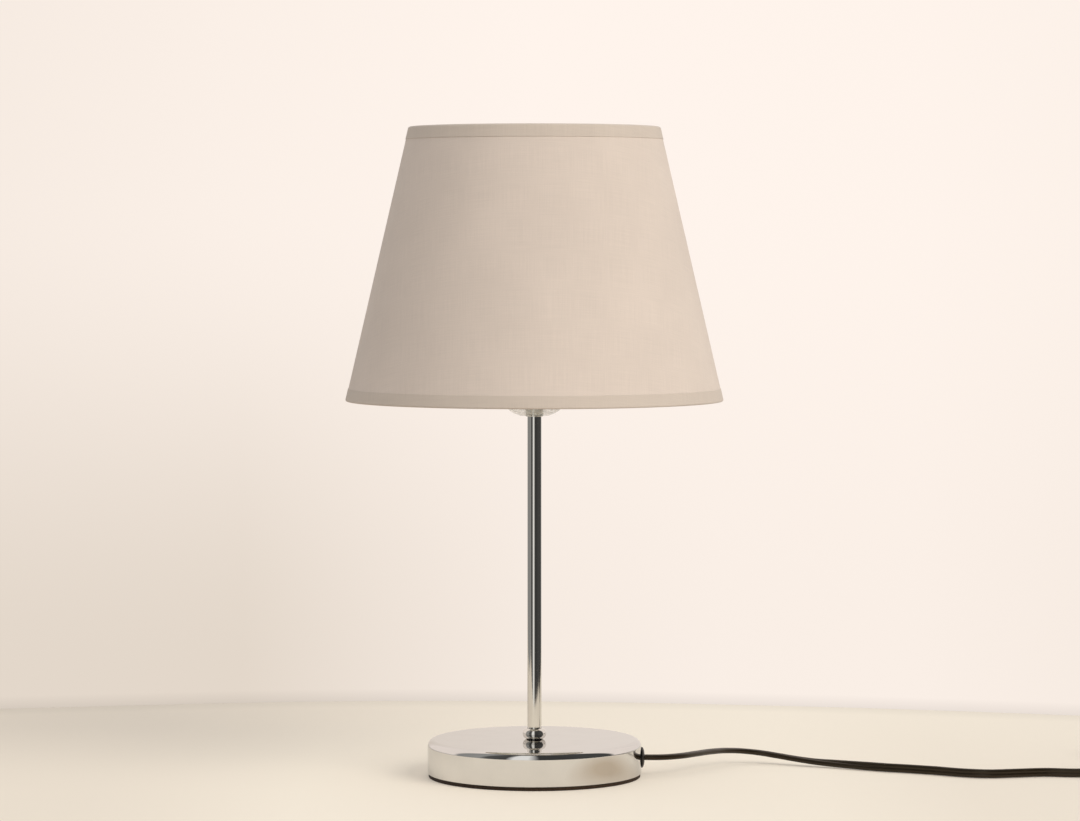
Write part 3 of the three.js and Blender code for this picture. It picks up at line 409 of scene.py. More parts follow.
@dataclass(frozen=True)
class Cloth(Finish):
    """Plain-woven cloth. It reads the piece's own UV map, which is the flat cloth in metres."""

    pitch: float = 0.42  # millimetres from thread to thread
    slub: float = 0.12  # how unevenly the threads are spun
    slub_scale: Point = (2.2, 0.05, 1.0)  # how fast they change across the thread, and along it
    slub_height: float = 1.5  # against the threads' own wave
    hollow: float = 0.36  # how much darker the darkest places are
    drift: float = 9.0  # millimetres over which the threads stray
    stray: float = 5.0  # how far they stray, as an angle of their wave
    # Painted shade: how much darker it is between threads
    thread_gap_shade: float = 0.16  # how much darker it is between threads
    mottle: float = 45.0  # millimetres from one faint patch to the next
    mottle_share: float = 0.14

    def dress(self, graph: Coat) -> None:
        """Weaves the threads over and under, with thick and thin places along them and painted shade between
        them.

        Args:
            graph: The material's nodes.
        """
        chart = graph.node("UVMap")
        chart.uv_map = "cloth"
        flat = chart.outputs["UV"]
        drift = graph.calc("MULTIPLY", graph.noise(self.drift, 2, flat), self.stray)
        waves = []
        for along in graph.parts(flat)[:2]:
            turns = graph.calc("MULTIPLY", along, math.pi / (self.pitch * MM))
            waves.append(graph.calc("SINE", graph.calc("ADD", turns, drift)))
        crossing = graph.calc("ABSOLUTE", graph.calc("MULTIPLY", *waves))
        fast, slow, level = self.slub_scale
        warp = graph.noise(1.0, 2, graph.stretched(flat, (fast, slow, level)))
        weft = graph.noise(1.0, 2, graph.stretched(flat, (slow, fast, level)))
        slubs = graph.calc("ADD", graph.spread(warp, 0, self.slub), graph.spread(weft, 0, self.slub))
        thread_gap_shade = graph.calc("MULTIPLY", graph.calc("SUBTRACT", 1.0, crossing), self.thread_gap_shade)
        patches = graph.spread(graph.noise(self.mottle, 3), 0.0, self.mottle_share)
        # Uneven spinning and faint patches are the cloth's own tone; the darkening between threads is painted
        # shade
        shade = graph.calc("ADD", graph.calc("ADD", slubs, thread_gap_shade), patches)
        bright = linear(self.colour)
        graph.coat("Base Color", graph.blend(shade, bright, dimmed(bright, self.hollow)))
        graph.coat("Roughness", graph.spread(warp, self.roughness - self.uneven, self.roughness))
        raised = graph.calc("MULTIPLY", slubs, self.slub_height)
        graph.relief(graph.calc("ADD", crossing, raised), self.depth)


@dataclass(frozen=True)
class Foam(Finish):
    """Closed-cell foam with open pores where it was cut."""

    pore: float = 0.9  # millimetres

    def dress(self, graph: Coat) -> None:
        """Sinks the pores, with painted shade at their bottom.

        Args:
            graph: The material's nodes.
        """
        bright, dark = self.shades()
        cells = graph.node("TexVoronoi", ("Scale", 1 / (self.pore * MM)), ("Vector", graph.place))
        # Painted shade: each pore is darkest at its middle, where it is deepest
        graph.coat("Base Color", graph.blend(cells.outputs["Distance"], dark, bright))
        graph.coat("Roughness", self.roughness)
        graph.relief(cells.outputs["Distance"], self.depth)


def see_through(alpha: float, scatter: float) -> tuple[tuple[str, float | Corner], ...]:
    """What makes a moulding milky.

    Args:
        alpha: How much of what lies behind it is hidden.
        scatter: How much light spreads inside it.

    Returns:
        The shader's sockets and their values.
    """
    return (
        ("Alpha", alpha), ("Subsurface Weight", scatter), ("Subsurface Scale", 0.003),
        ("Subsurface Radius", (1.0, 0.95, 0.9)),
    )


SHEEN = (("Sheen Weight", 0.08), ("Sheen Roughness", 0.6), ("Specular IOR Level", 0.25))

CHROME = Plating(
    "mirror_chrome", Slot.CHROME, (224, 223, 221), 0.02, 1.0,
    wander=0.05, patch=13, grain=0.4, depth=0.0004, uneven=0.025, swell=22, swell_depth=0.006, grazing=0.9,
)
TUBE_CHROME = Plating(
    "drawn_chrome", Slot.CHROME, (222, 220, 215), 0.045, 1.0,
    wander=0.03, patch=20, grain=0.4, depth=0.0004, uneven=0.03, swell=40, swell_depth=0.0008,
)
ZINC = Finish("dull_zinc", Slot.ZINC, (196, 198, 200), 0.38, 1.0, wander=0.2, patch=5, grain=0.3)
CASTING = Finish(
    "raw_casting", Slot.WEIGHT, (84, 84, 86), 0.72, 0.7,
    wander=0.35, patch=7, grain=1.1, depth=0.12,
)
BOARD = Finish("pressed_board", Slot.BOARD, (74, 66, 58), 0.86, wander=0.4, patch=2.5, grain=0.7, depth=0.05)
FOAM = Foam("cut_foam", Slot.FOAM, (60, 43, 28), 0.95, wander=0.6, depth=0.25)
BLACK_PLASTIC = Finish(
    "black_moulding", Slot.BLACK_PLASTIC, (30, 26, 22), 0.42,
    wander=0.15, patch=14, grain=0.35, depth=0.006, uneven=0.06,
)
GLOSS_BLACK = Finish(
    "rocker_moulding", Slot.BLACK_PLASTIC, (26, 23, 20), 0.26,
    wander=0.12, patch=9, grain=0.4, depth=0.002,
)
SHEATH = Finish(
    "cord_pvc", Slot.SHEATH, (28, 19, 9), 0.36,
    wander=0.18, patch=16, grain=0.8, depth=0.012, uneven=0.07,
    fixed=(("Specular Tint", (1.0, 0.87, 0.68, 1.0)),),
)
MILKY = Finish(
    "milky_moulding", Slot.MILKY, (250, 247, 241), 0.28,
    wander=0.03, patch=12, grain=0.6, depth=0.003, fixed=see_through(0.36, 0.3),
)
MILKY_THICK = Finish(
    "thick_milky_moulding", Slot.MILKY, (247, 243, 236), 0.32,
    wander=0.04, patch=12, grain=0.6, depth=0.004, fixed=see_through(0.8, 0.4),
)
CERAMIC = Finish("steatite", Slot.CERAMIC, (236, 230, 216), 0.55, patch=4, grain=0.4, depth=0.02)
BRASS = Finish(
    "bare_brass", Slot.BRASS, (214, 176, 98), 0.3, 1.0,
    wander=0.22, patch=4, grain=0.3, depth=0.006,
)
BRONZE = Finish(
    "spring_strip", Slot.BRONZE, (206, 150, 104), 0.32, 1.0,
    wander=0.2, patch=4, grain=0.3, depth=0.004,
)
NICKEL = Finish(
    "satin_nickel", Slot.NICKEL, (214, 209, 199), 0.24, 1.0,
    wander=0.1, patch=6, grain=0.25, depth=0.003, uneven=0.06,
)
LIVE = Finish("brown_insulation", Slot.LIVE, (107, 63, 34), 0.45, patch=5, grain=0.3, depth=0.004)
NEUTRAL = Finish("blue_insulation", Slot.NEUTRAL, (47, 95, 158), 0.45, patch=5, grain=0.3, depth=0.004)
WHITE_PLASTIC = Finish(
    "bulb_housing", Slot.WHITE_PLASTIC, (240, 239, 234), 0.38,
    wander=0.03, patch=10, grain=0.4, depth=0.004,
)
FROSTED = Finish(
    "frosted_bulb", Slot.FROSTED, (250, 249, 244), 0.4,
    wander=0.02, patch=12, grain=0.25, depth=0.004,
    fixed=(("Transmission Weight", 0.7), ("IOR", 1.3)),
)
BLACK_GLASS = Finish("black_vitrite", Slot.BLACK_GLASS, (34, 30, 40), 0.14, patch=4, grain=0.6)
CLOTH = Cloth(
    "pale_beige_weave", Slot.CLOTH, (225, 207, 194), 0.95, depth=0.05, uneven=0.06, fixed=SHEEN,
)
HEM_CLOTH = Cloth(
    "hem_weave", Slot.HEM, (213, 196, 182), 0.95, depth=0.06, uneven=0.06, pitch=0.46, fixed=SHEEN,
)
LINING = Finish("white_lining", Slot.CLOTH, (240, 236, 228), 0.5, wander=0.04, patch=40, grain=1.4)
WIRE_PAINT = Finish(
    "white_powder_coat", Slot.WHITE_WIRE, (236, 234, 228), 0.45,
    wander=0.05, patch=8, grain=0.7, depth=0.03,
)


# Shapes


@dataclass(frozen=True)
class Extent:
    """Where a CAD node lies, in millimetres."""

    low: Vector
    high: Vector

    @classmethod
    def of(cls, node: str) -> "Extent":
        """Reads a node's box."""
        low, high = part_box(node)
        return cls(low / MM, high / MM)

    @property
    def bottom(self) -> float:
        """Its lowest level."""
        return self.low.z

    @property
    def top(self) -> float:
        """Its highest level."""
        return self.high.z

    @property
    def height(self) -> float:
        """From bottom to top."""
        return self.high.z - self.low.z

    @property
    def radius(self) -> float:
        """Half its size along X, the radius of a turned piece."""
        return (self.high.x - self.low.x) / 2

    @property
    def lathe(self) -> tuple[float, float, float]:
        """A turned piece's radius, bottom and top."""
        return self.radius, self.bottom, self.top

    @property
    def centre(self) -> Vector:
        """The middle of its box."""
        return (self.low + self.high) / 2


def node(name: str) -> Field[Extent]:
    """A dataclass field that reads a node's box when the piece is made."""
    return field(default_factory=lambda: Extent.of(name))


@dataclass(frozen=True)
class Ring:
    """A rounded rectangle across a loft, in millimetres."""

    level: float
    length: float
    width: float
    corner: float = 1.0
    ease: float = 0.0  # how far its own edge is rounded afterwards


def eased(bm: BMesh, geometry: list, reach: float, steps: int, affect: str) -> None:
    """Rounds corners or edges of a mesh.

    Args:
        bm: The mesh.
        geometry: The vertices or edges.
        reach: How far back from the corner the rounding starts.
        steps: Segments in it.
        affect: VERTICES or EDGES.
    """
    bmesh.ops.bevel(
        bm, geom=geometry, offset=reach, offset_type="OFFSET", segments=steps,
        profile=0.5, affect=affect, material=-1,
    )


def chain(bm: BMesh, outline: Sequence[Corner], closed: bool, steps: int) -> None:
    """Draws a line of corners in the XZ plane, each rounded by its third number.

    Args:
        bm: The mesh it is drawn in.
        outline: Corners as radius, height and rounding.
        closed: Whether the last one joins the first.
        steps: Segments in each rounding.
    """
    verts = [bm.verts.new((corner[0], 0.0, corner[1])) for corner in outline]
    following = verts[1:] + verts[:1] if closed else verts[1:]
    for first, second in zip(verts, following):
        bm.edges.new((first, second))
    for vert, corner in zip(verts, outline):
        if len(corner) > 2 and corner[2]:
            eased(bm, [vert], corner[2], steps, "VERTICES")


def spun(bm: BMesh, steps: int, angle: float = FULL_TURN, rise: float = 0.0) -> BMesh:
    """Sweeps a line about the Z axis, and closes the shape that it leaves.

    Args:
        bm: The line.
        steps: Steps round the axis.
        angle: How far it goes round, in radians.
        rise: How far it climbs on the way.

    Returns:
        The same mesh, now the shape.
    """
    whole = angle == FULL_TURN and not rise
    bmesh.ops.spin(
        bm, geom=bm.verts[:] + bm.edges[:], cent=(0, 0, 0), axis=(0, 0, 1),
        angle=angle, steps=steps, dvec=(0, 0, rise / steps), use_merge=whole,
    )
    if whole:
        bmesh.ops.remove_doubles(bm, verts=bm.verts[:], dist=WELD)
    else:
        bmesh.ops.holes_fill(bm, edges=bm.edges[:], sides=0)
    bmesh.ops.recalc_face_normals(bm, faces=bm.faces[:])
    return bm


def turned(outline: Sequence[Corner], segments: int = 96, steps: int = 4) -> BMesh:
    """Turns an outline about the Z axis.

    Args:
        outline: Corners as radius, height and, where it is rounded, the rounding.
        segments: Steps round the axis.
        steps: Segments in each rounding.

    Returns:
        A closed shape.
    """
    bm = bmesh.new()
    on_axis = outline[0][0] == 0 and outline[-1][0] == 0
    chain(bm, outline, not on_axis, steps)
    return spun(bm, segments)


def pipe(
    bore: float,
    radius: float,
    bottom: float,
    top: float,
    eases: Corner = (0, 0, 0, 0),
    segments: int = 32,
    steps: int = 4,
) -> BMesh:
    """Turns an upright pipe, or a rod where it has no bore.

    Args:
        bore: Its inside radius.
        radius: Its outside radius.
        bottom: Its lowest level.
        top: Its highest level.
        eases: How far its edges are rounded: bottom inside, bottom outside, top outside, top inside.
        segments: Steps round the axis.
        steps: Segments in each rounding.

    Returns:
        A closed shape.
    """
    places = ((bore, bottom), (radius, bottom), (radius, top), (bore, top))
    return turned([(*place, ease) for place, ease in zip(places, eases)], segments, steps)


def ridged(core: float, crest: float, bottom: float, top: float, pitch: float) -> BMesh:
    """Winds a round thread ridge about the Z axis.

    Args:
        core: Radius of what it stands on.
        crest: Radius it reaches.
        bottom: Where it starts.
        top: Where it ends.
        pitch: Rise in each turn.

    Returns:
        The ridge, closed at both ends, its foot a little inside the core.
    """
    per_turn = 48
    rise = top - bottom - pitch
    count = round(rise / pitch * per_turn)
    foot, middle = core - 0.3, (core + 2 * crest) / 3
    outline = (
        (foot, 0), (core, 0.06), (middle, 0.24), (crest, 0.5), (middle, 0.76), (core, 0.94), (foot, 1),
    )
    bm = bmesh.new()
    chain(bm, [(radius, bottom + share * pitch) for radius, share in outline], True, 1)
    return spun(bm, count, FULL_TURN * count / per_turn, rise)


def lofted(rings: Sequence[Ring], joined: bool = False, corner_steps: int = 6, steps: int = 4) -> BMesh:
    """Skins rounded rectangles that stand one above another.

    Args:
        rings: The rectangles, in the order that the skin follows.
        joined: Whether the last is skinned to the first, which leaves a hole through it.
        corner_steps: Segments in each corner.
        steps: Segments in each eased edge.

    Returns:
        A closed shape.
    """
    bm = bmesh.new()
    loops: list[list[bmesh.types.BMEdge]] = []
    last = len(rings) - 1
    for index, ring in enumerate(rings):
        before = set(bm.edges)
        verts = bmesh.ops.create_grid(bm, x_segments=1, y_segments=1, size=0.5)["verts"]
        bmesh.ops.scale(bm, vec=(ring.length, ring.width, 1), verts=verts)
        bmesh.ops.translate(bm, vec=(0, 0, ring.level), verts=verts)
        eased(bm, verts, ring.corner, corner_steps, "VERTICES")
        loop = [edge for edge in bm.edges if edge not in before]
        loops.append(loop)
        if joined or index not in (0, last):
            bmesh.ops.delete(bm, geom=loop[0].link_faces[:], context="FACES_ONLY")
    pairs = list(zip(loops, loops[1:]))
    if joined:
        pairs.append((loops[-1], loops[0]))
    for first, second in pairs:
        bmesh.ops.bridge_loops(bm, edges=first + second)
    bmesh.ops.recalc_face_normals(bm, faces=bm.faces[:])
    for ring, loop in zip(rings, loops):
        if ring.ease:
            eased(bm, loop, ring.ease, steps, "EDGES")
    return bm


def block(low: Point, high: Point, ease: float = 0.0) -> BMesh:
    """Makes a box between two corners, its edges eased.

    Args:
        low: Its lowest corner.
        high: Its highest corner.
        ease: How far the edges are rounded.

    Returns:
        A closed shape.
    """
    bm = bmesh.new()
    size = [b - a for a, b in zip(low, high)]
    middle = Vector([(a + b) / 2 for a, b in zip(low, high)])
    bmesh.ops.create_cube(bm, size=1, matrix=Matrix.LocRotScale(middle, None, Vector(size)))
    if ease:
        eased(bm, bm.edges[:], ease, 3, "EDGES")
    return bm


def moved(bm: BMesh, *steps: Matrix) -> BMesh:
    """Moves a shape.

    Args:
        bm: The shape.
        steps: The transforms, applied one after another.

    Returns:
        The same shape.
    """
    for step in steps:
        bmesh.ops.transform(bm, matrix=step, verts=bm.verts[:])
    return bm


def corners(geometry: list) -> list:
    """The vertices among some pieces of a mesh."""
    return [piece for piece in geometry if isinstance(piece, bmesh.types.BMVert)]


def turn(degrees: float, axis: str) -> Matrix:
    """A turn about an axis through the origin."""
    return Matrix.Rotation(math.radians(degrees), 4, axis)


def shift(x: float, y: float, z: float) -> Matrix:
    """A move."""
    return Matrix.Translation((x, y, z))


def together(*parts: BMesh) -> BMesh:
    """Gathers shapes into one mesh.

    Args:
        parts: The shapes, which are used up.

    Returns:
        The one mesh.
    """
    whole = bmesh.new()
    for part in parts:
        mesh = bpy.data.meshes.new("part")
        part.to_mesh(mesh)
        part.free()
        whole.from_mesh(mesh)
        bpy.data.meshes.remove(mesh)
    return whole


def linked(name: str, data: bpy.types.ID) -> Object:
    """Puts an object in the scene.

    Args:
        name: Its name.
        data: Its mesh, curve, camera or light.

    Returns:
        The object.
    """
    obj = bpy.data.objects.new(name, data)
    bpy.context.scene.collection.objects.link(obj)
    return obj


def stand_in(bm: BMesh, name: str) -> Object:
    """Puts a shape in the scene.

    Args:
        bm: The shape, which is used up.
        name: The object's name.

    Returns:
        The object.
    """
    mesh = bpy.data.meshes.new(name)
    bm.to_mesh(mesh)
    bm.free()
    return linked(name, mesh)


def taken(obj: Object) -> BMesh:
    """Reads an object as it shows, modifiers included, and removes it.

    Args:
        obj: The object.

    Returns:
        Its shape.
    """
    graph = bpy.context.evaluated_depsgraph_get()
    mesh = bpy.data.meshes.new_from_object(obj.evaluated_get(graph))
    bm = bmesh.new()
    bm.from_mesh(mesh)
    bpy.data.meshes.remove(mesh)
    bpy.data.objects.remove(obj)
    return bm


def carved(body: BMesh, *cutters: BMesh) -> BMesh:
    """Cuts closed shapes out of a closed shape.

    Args:
        body: What is cut.
        cutters: What is taken away.

    Returns:
        What is left.
    """
    target = stand_in(body, "carving")
    tools = [stand_in(cutter, f"cutter_{index}") for index, cutter in enumerate(cutters)]
    for tool in tools:
        step = target.modifiers.new(tool.name, "BOOLEAN")
        step.object = tool
        step.operation = "DIFFERENCE"
        step.solver = "EXACT"
    left = taken(target)
    for tool in tools:
        bpy.data.objects.remove(tool)
    return left


def smooth_route(points: Sequence[Point], per_span: int = 10) -> list[Vector]:
    """Runs a centripetal curve through points, the same as the CAD's own.

    Args:
        points: Where it passes.
        per_span: Points made between two given ones.

    Returns:
        Points along the curve.
    """
    given = [Vector(point) for point in points]
    given = [2 * given[0] - given[1], *given, 2 * given[-1] - given[-2]]
    route = []
    for before, start, end, after in zip(given, given[1:], given[2:], given[3:]):
        gaps = [math.sqrt((b - a).length) for a, b in ((before, start), (start, end), (end, after))]
        leave = (start - before) / gaps[0] - (end - before) / (gaps[0] + gaps[1]) + (end - start) / gaps[1]
        arrive = (end - start) / gaps[1] - (after - start) / (gaps[1] + gaps[2]) + (after - end) / gaps[2]
        leave, arrive = leave * gaps[1], arrive * gaps[1]
        for step in range(per_span):
            t = step / per_span
            bend = 2 * start - 2 * end + leave + arrive
            swing = 3 * end - 3 * start - 2 * leave - arrive
            route.append(start + t * leave + t * t * swing + t * t * t * bend)
    route.append(given[-2])
    return route


class Section(Enum):
    """What a swept piece looks like when it is cut across."""

    TWIN = "flat twin cord"
    ROUND = "round wire"


def gentle(share: float) -> float:
    """Holds a share between 0 and 1, and lets it start and end gently."""
    held = min(max(share, 0.0), 1.0)
    return held * held * (3 - 2 * held)


def twin_outline(width: float, thickness: float, lobe_steps: int = 8) -> list[tuple[float, float]]:
    """The section of a flat twin cord: two round cores side by side with a groove between them.

    Args:
        width: Across both cores.
        thickness: Across one core.
        lobe_steps: Points round each core.

    Returns:
        Its points in order.
    """
    radius = thickness / 2
    centre = width / 2 - radius
    limit = math.pi - math.acos(centre / radius)
    points = []
    for side in (1, -1):
        for step in range(lobe_steps):
            angle = -limit + 2 * limit * (step + 0.5) / lobe_steps
            points.append((side * (centre + radius * math.cos(angle)), side * radius * math.sin(angle)))
        points.append((0.0, side * radius * math.sin(limit) * 0.97))
    return points


def swept(
    route: Sequence[Vector],
    section: Section,
    width: float,
    thickness: float,
    tilts: Sequence[float] = (),
    upright: bool = True,
) -> BMesh:
    """Draws a section along a route.

    Args:
        route: Points along the middle.
        section: Its kind.
        width: The section's width, or a round one's diameter.
        thickness: The section's thickness.
        tilts: How far it is turned about the route at each point, in radians.
        upright: Whether it keeps level as it goes, or twists as little as it can.

    Returns:
        A closed shape.
    """
    line = bpy.data.curves.new("route", "CURVE")
    line.dimensions = "3D"
    line.twist_mode = "Z_UP" if upright else "MINIMUM"
    line.use_fill_caps = True
    spline = line.splines.new("POLY")
    spline.points.add(len(route) - 1)
    turns = tilts or [0.0] * len(route)
    for point, place, tilt in zip(spline.points, route, turns):
        point.co = (*place, 1.0)
        point.tilt = tilt
    shape = None
    if section is Section.TWIN:
        across = bpy.data.curves.new("section", "CURVE")
        outline = twin_outline(width, thickness)
        edge = across.splines.new("POLY")
        edge.points.add(len(outline) - 1)
        for point, (x, y) in zip(edge.points, outline):
            point.co = (x, y, 0.0, 1.0)
        edge.use_cyclic_u = True
        shape = linked("section", across)
        line.bevel_mode = "OBJECT"
        line.bevel_object = shape
    else:
        line.bevel_depth = width / 2
        line.bevel_resolution = 4
    bm = taken(linked("route", line))
    if shape:
        bpy.data.objects.remove(shape)
    bmesh.ops.remove_doubles(bm, verts=bm.verts[:], dist=WELD)
    bmesh.ops.recalc_face_normals(bm, faces=bm.faces[:])
    return bm


def settle(
    bm: BMesh,
    name: str,
    nodes: Sequence[str],
    *finishes: Finish,
    body: Body = Body.LAMP,
    sharp: float = 40.0,
    choose: Callable[[Vector, Vector], int] | None = None,
) -> Object:
    """Turns a shape into a finished piece of the lamp.

    Args:
        bm: The shape, in millimetres.
        name: The piece's own name.
        nodes: The CAD nodes it stands for.
        finishes: Its finishes, the main one first.
        body: What it moves with.
        sharp: The angle in degrees past which an edge stays crisp.
        choose: Picks a face's finish from its middle and its normal, in millimetres.

    Returns:
        The piece.
    """
    if choose:
        for face in bm.faces:
            face.material_index = choose(face.calc_center_median(), face.normal)
    bmesh.ops.scale(bm, vec=(MM, MM, MM), verts=bm.verts[:])
    mesh = bpy.data.meshes.new(name)
    bm.to_mesh(mesh)
    bm.free()
    mesh.polygons.foreach_set("use_smooth", [True] * len(mesh.polygons))
    mesh.set_sharp_from_angle(angle=math.radians(sharp))
    for finish in finishes:
        mesh.materials.append(finish.material())
    obj = linked(name, mesh)
    even = obj.modifiers.new("flat_faces", "WEIGHTED_NORMAL")
    even.keep_sharp = True
    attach(obj, body.value)
    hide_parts(*nodes)
    log.info("%s: %d faces, on %s", name, len(mesh.polygons), body.value)
    return obj


def cross_screw(head: float, head_height: float, shank: float, length: float) -> BMesh:
    """Makes a pan-head screw with a cross recess, its head down at the origin.

    Args:
        head: Radius of the head.
        head_height: Height of the head.
        shank: Radius of the thread.
        length: From the head's face to the tip.

    Returns:
        The screw.
    """
    core, rim = shank * 0.82, head_height * 0.55
    body = turned([
        (0, 0), (head * 0.8, 0, 0.4), (head, rim, 0.3), (head, head_height), (core, head_height),
        (core, length - shank), (0, length),
    ], 32)
    reach, half, deep = head * 0.62, head * 0.15, head_height * 0.6
    recess = [block((-x, -y, -1), (x, y, deep)) for x, y in ((reach, half), (half, reach))]
    thread = ridged(core, shank, head_height, length - shank, shank * 0.9)
    return together(carved(body, *recess), thread)


# Camera, floor, wall and light


@dataclass
class Studio:
    """The photographer's side: the camera, and what is round the lamp. Lengths are in millimetres."""

    camera_place: Point = (3.1, -2138.3, 304.36)
    pitch_down: float = 2.6518  # degrees
    lens: float = 127.667
    sensor: float = 36.0
    far_clip: float = 100.0  # metres
    wall_foot: tuple[Corner, ...] = (
        (-800, 255), (-480, 278), (-335, 305), (-150, 341), (0, 343), (205, 309), (400, 252), (520, 222),
        (800, 200),
    )
    foot_steps: int = 3  # between two of those points
    foot_shadow: float = 0.09  # how dark the table is at the wall's foot
    foot_shadow_reach: float = 35.0
    wall_reach: float = 3000.0
    wall_height: float = 6000.0
    floor_reach: float = 7000.0
    floor_drop: float = 0.1  # how far the table lies below the lamp's own level, so that they don't touch
    table_front: float = 335.0  # how far the metal mirrors the table, past which it mirrors the room
    table_right: float = 440.0
    table_left: float = 540.0
    table_fade: Corner = (0.93, 1.07)  # where it fades, as shares of that reach
    wall_reflection: Corner = (150.0, 250.0)  # how far to the sides the metal mirrors the wall, and its fade
    # Painted reflection: a darker, browner patch of table that only the metal mirrors
    reflected_patch_place: Point = (115.0, -55.0, 0.0)  # a browner patch of table that only the metal shows
    reflected_patch_reach: Corner = (25.0, 85.0)
    reflected_patch_share: float = 0.8
    reflected_patch_colour: Corner = (0.6, 0.46, 0.33, 1.0)
    around: Corner = (0.645, 0.684, 0.707, 1.0)  # plain light from everywhere
    key_azimuth: float = 48.0  # degrees from the camera's side towards +X
    key_height: float = 30.0
    key_strength: float = 1.77
    key_colour: Corner = (1.0, 0.988, 0.927)
    key_angle: float = 38.0
    # Painted shade: the wall and the table get darker in places across the view, most on the left
    wall_light: Colour = (255, 244, 236)
    wall_shaded: Colour = (227, 215, 202)
    table_light: Colour = (247, 233, 216)
    table_shaded: Colour = (227, 212, 196)
    table_glow: float = 0.24  # share of the table's light that is its own, so that it stays even
    table_absorbs: float = 0.2
    # Painted shade across the view: X, and a share of the way from the light colour to the shaded one
    wall_low: tuple[Corner, ...] = (
        (-340, 1), (-189, 1), (-104, 0.68), (0, 0.35), (120, 0.21), (240, 0.19), (340, 0.29),
    )
    wall_high: tuple[Corner, ...] = ((-340, 0.31), (-189, 0.15), (0, 0), (240, 0.02), (340, 0.09))
    wall_levels: Corner = (20.0, 330.0)  # where the low row starts and the high one takes over
    table_near: tuple[Corner, ...] = (
        (-340, 0.6), (-239, 0.51), (-196, 0.36), (-125, 0), (152, 0.02), (239, 0.39), (340, 0.39),
    )
    table_far: tuple[Corner, ...] = (
        (-340, 1), (-177, 0.86), (-133, 0.72), (0, 0.29), (133, 0.05), (340, 0.22),
    )
    table_depths: Corner = (-55.0, 286.0)  # where the near row ends and the far one takes over
    # Painted shade: the wall's glow is dimmed at its foot, a dark line in the corner
    seam: float = 0.865  # how bright the wall is at its very foot
    corner_shade_height: float = 8.0
    # What the metal mirrors all round: degrees from the camera's side, and how light it is
    room: tuple[Corner, ...] = (
        (-180, 0.86), (-162, 0.7), (-140, 0.45), (-112, 0.24), (-90, 0.3), (-62, 0.34), (-54, 0.1),
        (-31, 0.07), (-23, 0.95), (-7, 0.95), (5, 0.05), (32, 0.05), (60, 0.068), (90, 0.068), (118, 0.05),
        (132, 0.3), (150, 0.86), (180, 0.86),
    )
    room_tint: Corner = (1.0, 0.985, 0.96)
    ceiling: Corner = (0.1, 0.095, 0.09, 1.0)
    ceiling_from: Corner = (64.0, 72.0)  # degrees above the horizon
    far_wall: Colour = (253, 241, 233)  # mirrored past the ends of the wall
    far_wall_rises: Corner = (-0.02, 0.03)
    far_wall_sides: Corner = (0.0, 0.12)
    backdrop: Colour = (250, 239, 230)  # seen past the wall

    def build(self) -> None:
        """Sets up camera, world, lamp, floor and wall."""
        bpy.context.scene.view_settings.view_transform = "Standard"
        self.place_camera()
        self.light_world()
        self.light_key()
        self.lay_floor()
        self.raise_wall()

    def place_camera(self) -> None:
        """Puts the camera where the photograph was taken from."""
        lens = bpy.data.cameras.new("camera")
        lens.lens = self.lens
        lens.sensor_width = self.sensor
        lens.clip_end = self.far_clip
        camera = linked("camera", lens)
        camera.location = Vector(self.camera_place) * MM
        camera.rotation_euler = (math.radians(90 - self.pitch_down), 0, 0)
        bpy.context.scene.camera = camera

    def light_world(self) -> None:
        """Lights the lamp evenly, and gives the metal a room to mirror."""
        world = bpy.data.worlds.new("studio")
        bpy.context.scene.world = world
        graph = Graph(world)
        ray = graph.node("LightPath")
        x, y, z = graph.parts(graph.node("TexCoord").outputs["Generated"])
        bearing = graph.calc("ARCTAN2", x, graph.calc("MULTIPLY", y, -1.0))
        share = graph.calc("ADD", graph.calc("DIVIDE", bearing, FULL_TURN), 0.5)
        stops = [
            ((angle + 180) / 360, (*(level * tint for tint in self.room_tint), 1.0))
            for angle, level in self.room
        ]
        above = graph.ranged(z, tuple(math.sin(math.radians(angle)) for angle in self.ceiling_from))
        mirrored = graph.blend(above, graph.ramp(share, stops), self.ceiling)
        walled = graph.calc(
            "MULTIPLY", graph.ranged(z, self.far_wall_rises), graph.ranged(y, self.far_wall_sides)
        )
        mirrored = graph.blend(walled, mirrored, linear(self.far_wall))
        lit = graph.blend(ray.outputs["Is Glossy Ray"], self.around, mirrored)
        direct = graph.largest(ray.outputs["Is Camera Ray"], ray.outputs["Is Transmission Ray"])
        sky = graph.node("Background", ("Color", graph.blend(direct, lit, linear(self.backdrop))))
        graph.node("OutputWorld", ("Surface", sky.outputs["Background"]))

    def light_key(self) -> None:
        """Hangs one broad soft lamp up on the right, which the metal doesn't mirror."""
        lamp = bpy.data.lights.new("key", "SUN")
        lamp.energy = self.key_strength
        lamp.color = self.key_colour
        lamp.angle = math.radians(self.key_angle)
        key = linked("key", lamp)
        key.rotation_euler = (math.radians(90 - self.key_height), 0, math.radians(self.key_azimuth))
        key.visible_glossy = False

    def across(self, graph: Surface, stops: Sequence[Corner]) -> Socket:
        """Runs a value through stops from left to right.

        Args:
            graph: The material's nodes.
            stops: Places along X in millimetres, each with its value.

        Returns:
            The value.
        """
        low, high = stops[0][0], stops[-1][0]
        share = graph.ranged(graph.parts(graph.place)[0], (low * MM, high * MM))
        span = high - low
        return graph.ramp(share, [((x - low) / span, (value, value, value, 1.0)) for x, value in stops])

    def foot(self) -> list[Corner]:
        """The curve of the wall's foot from above, in millimetres."""
        route = smooth_route([(x, y, 0.0) for x, y in self.wall_foot], self.foot_steps)
        return [(point.x, point.y) for point in route]

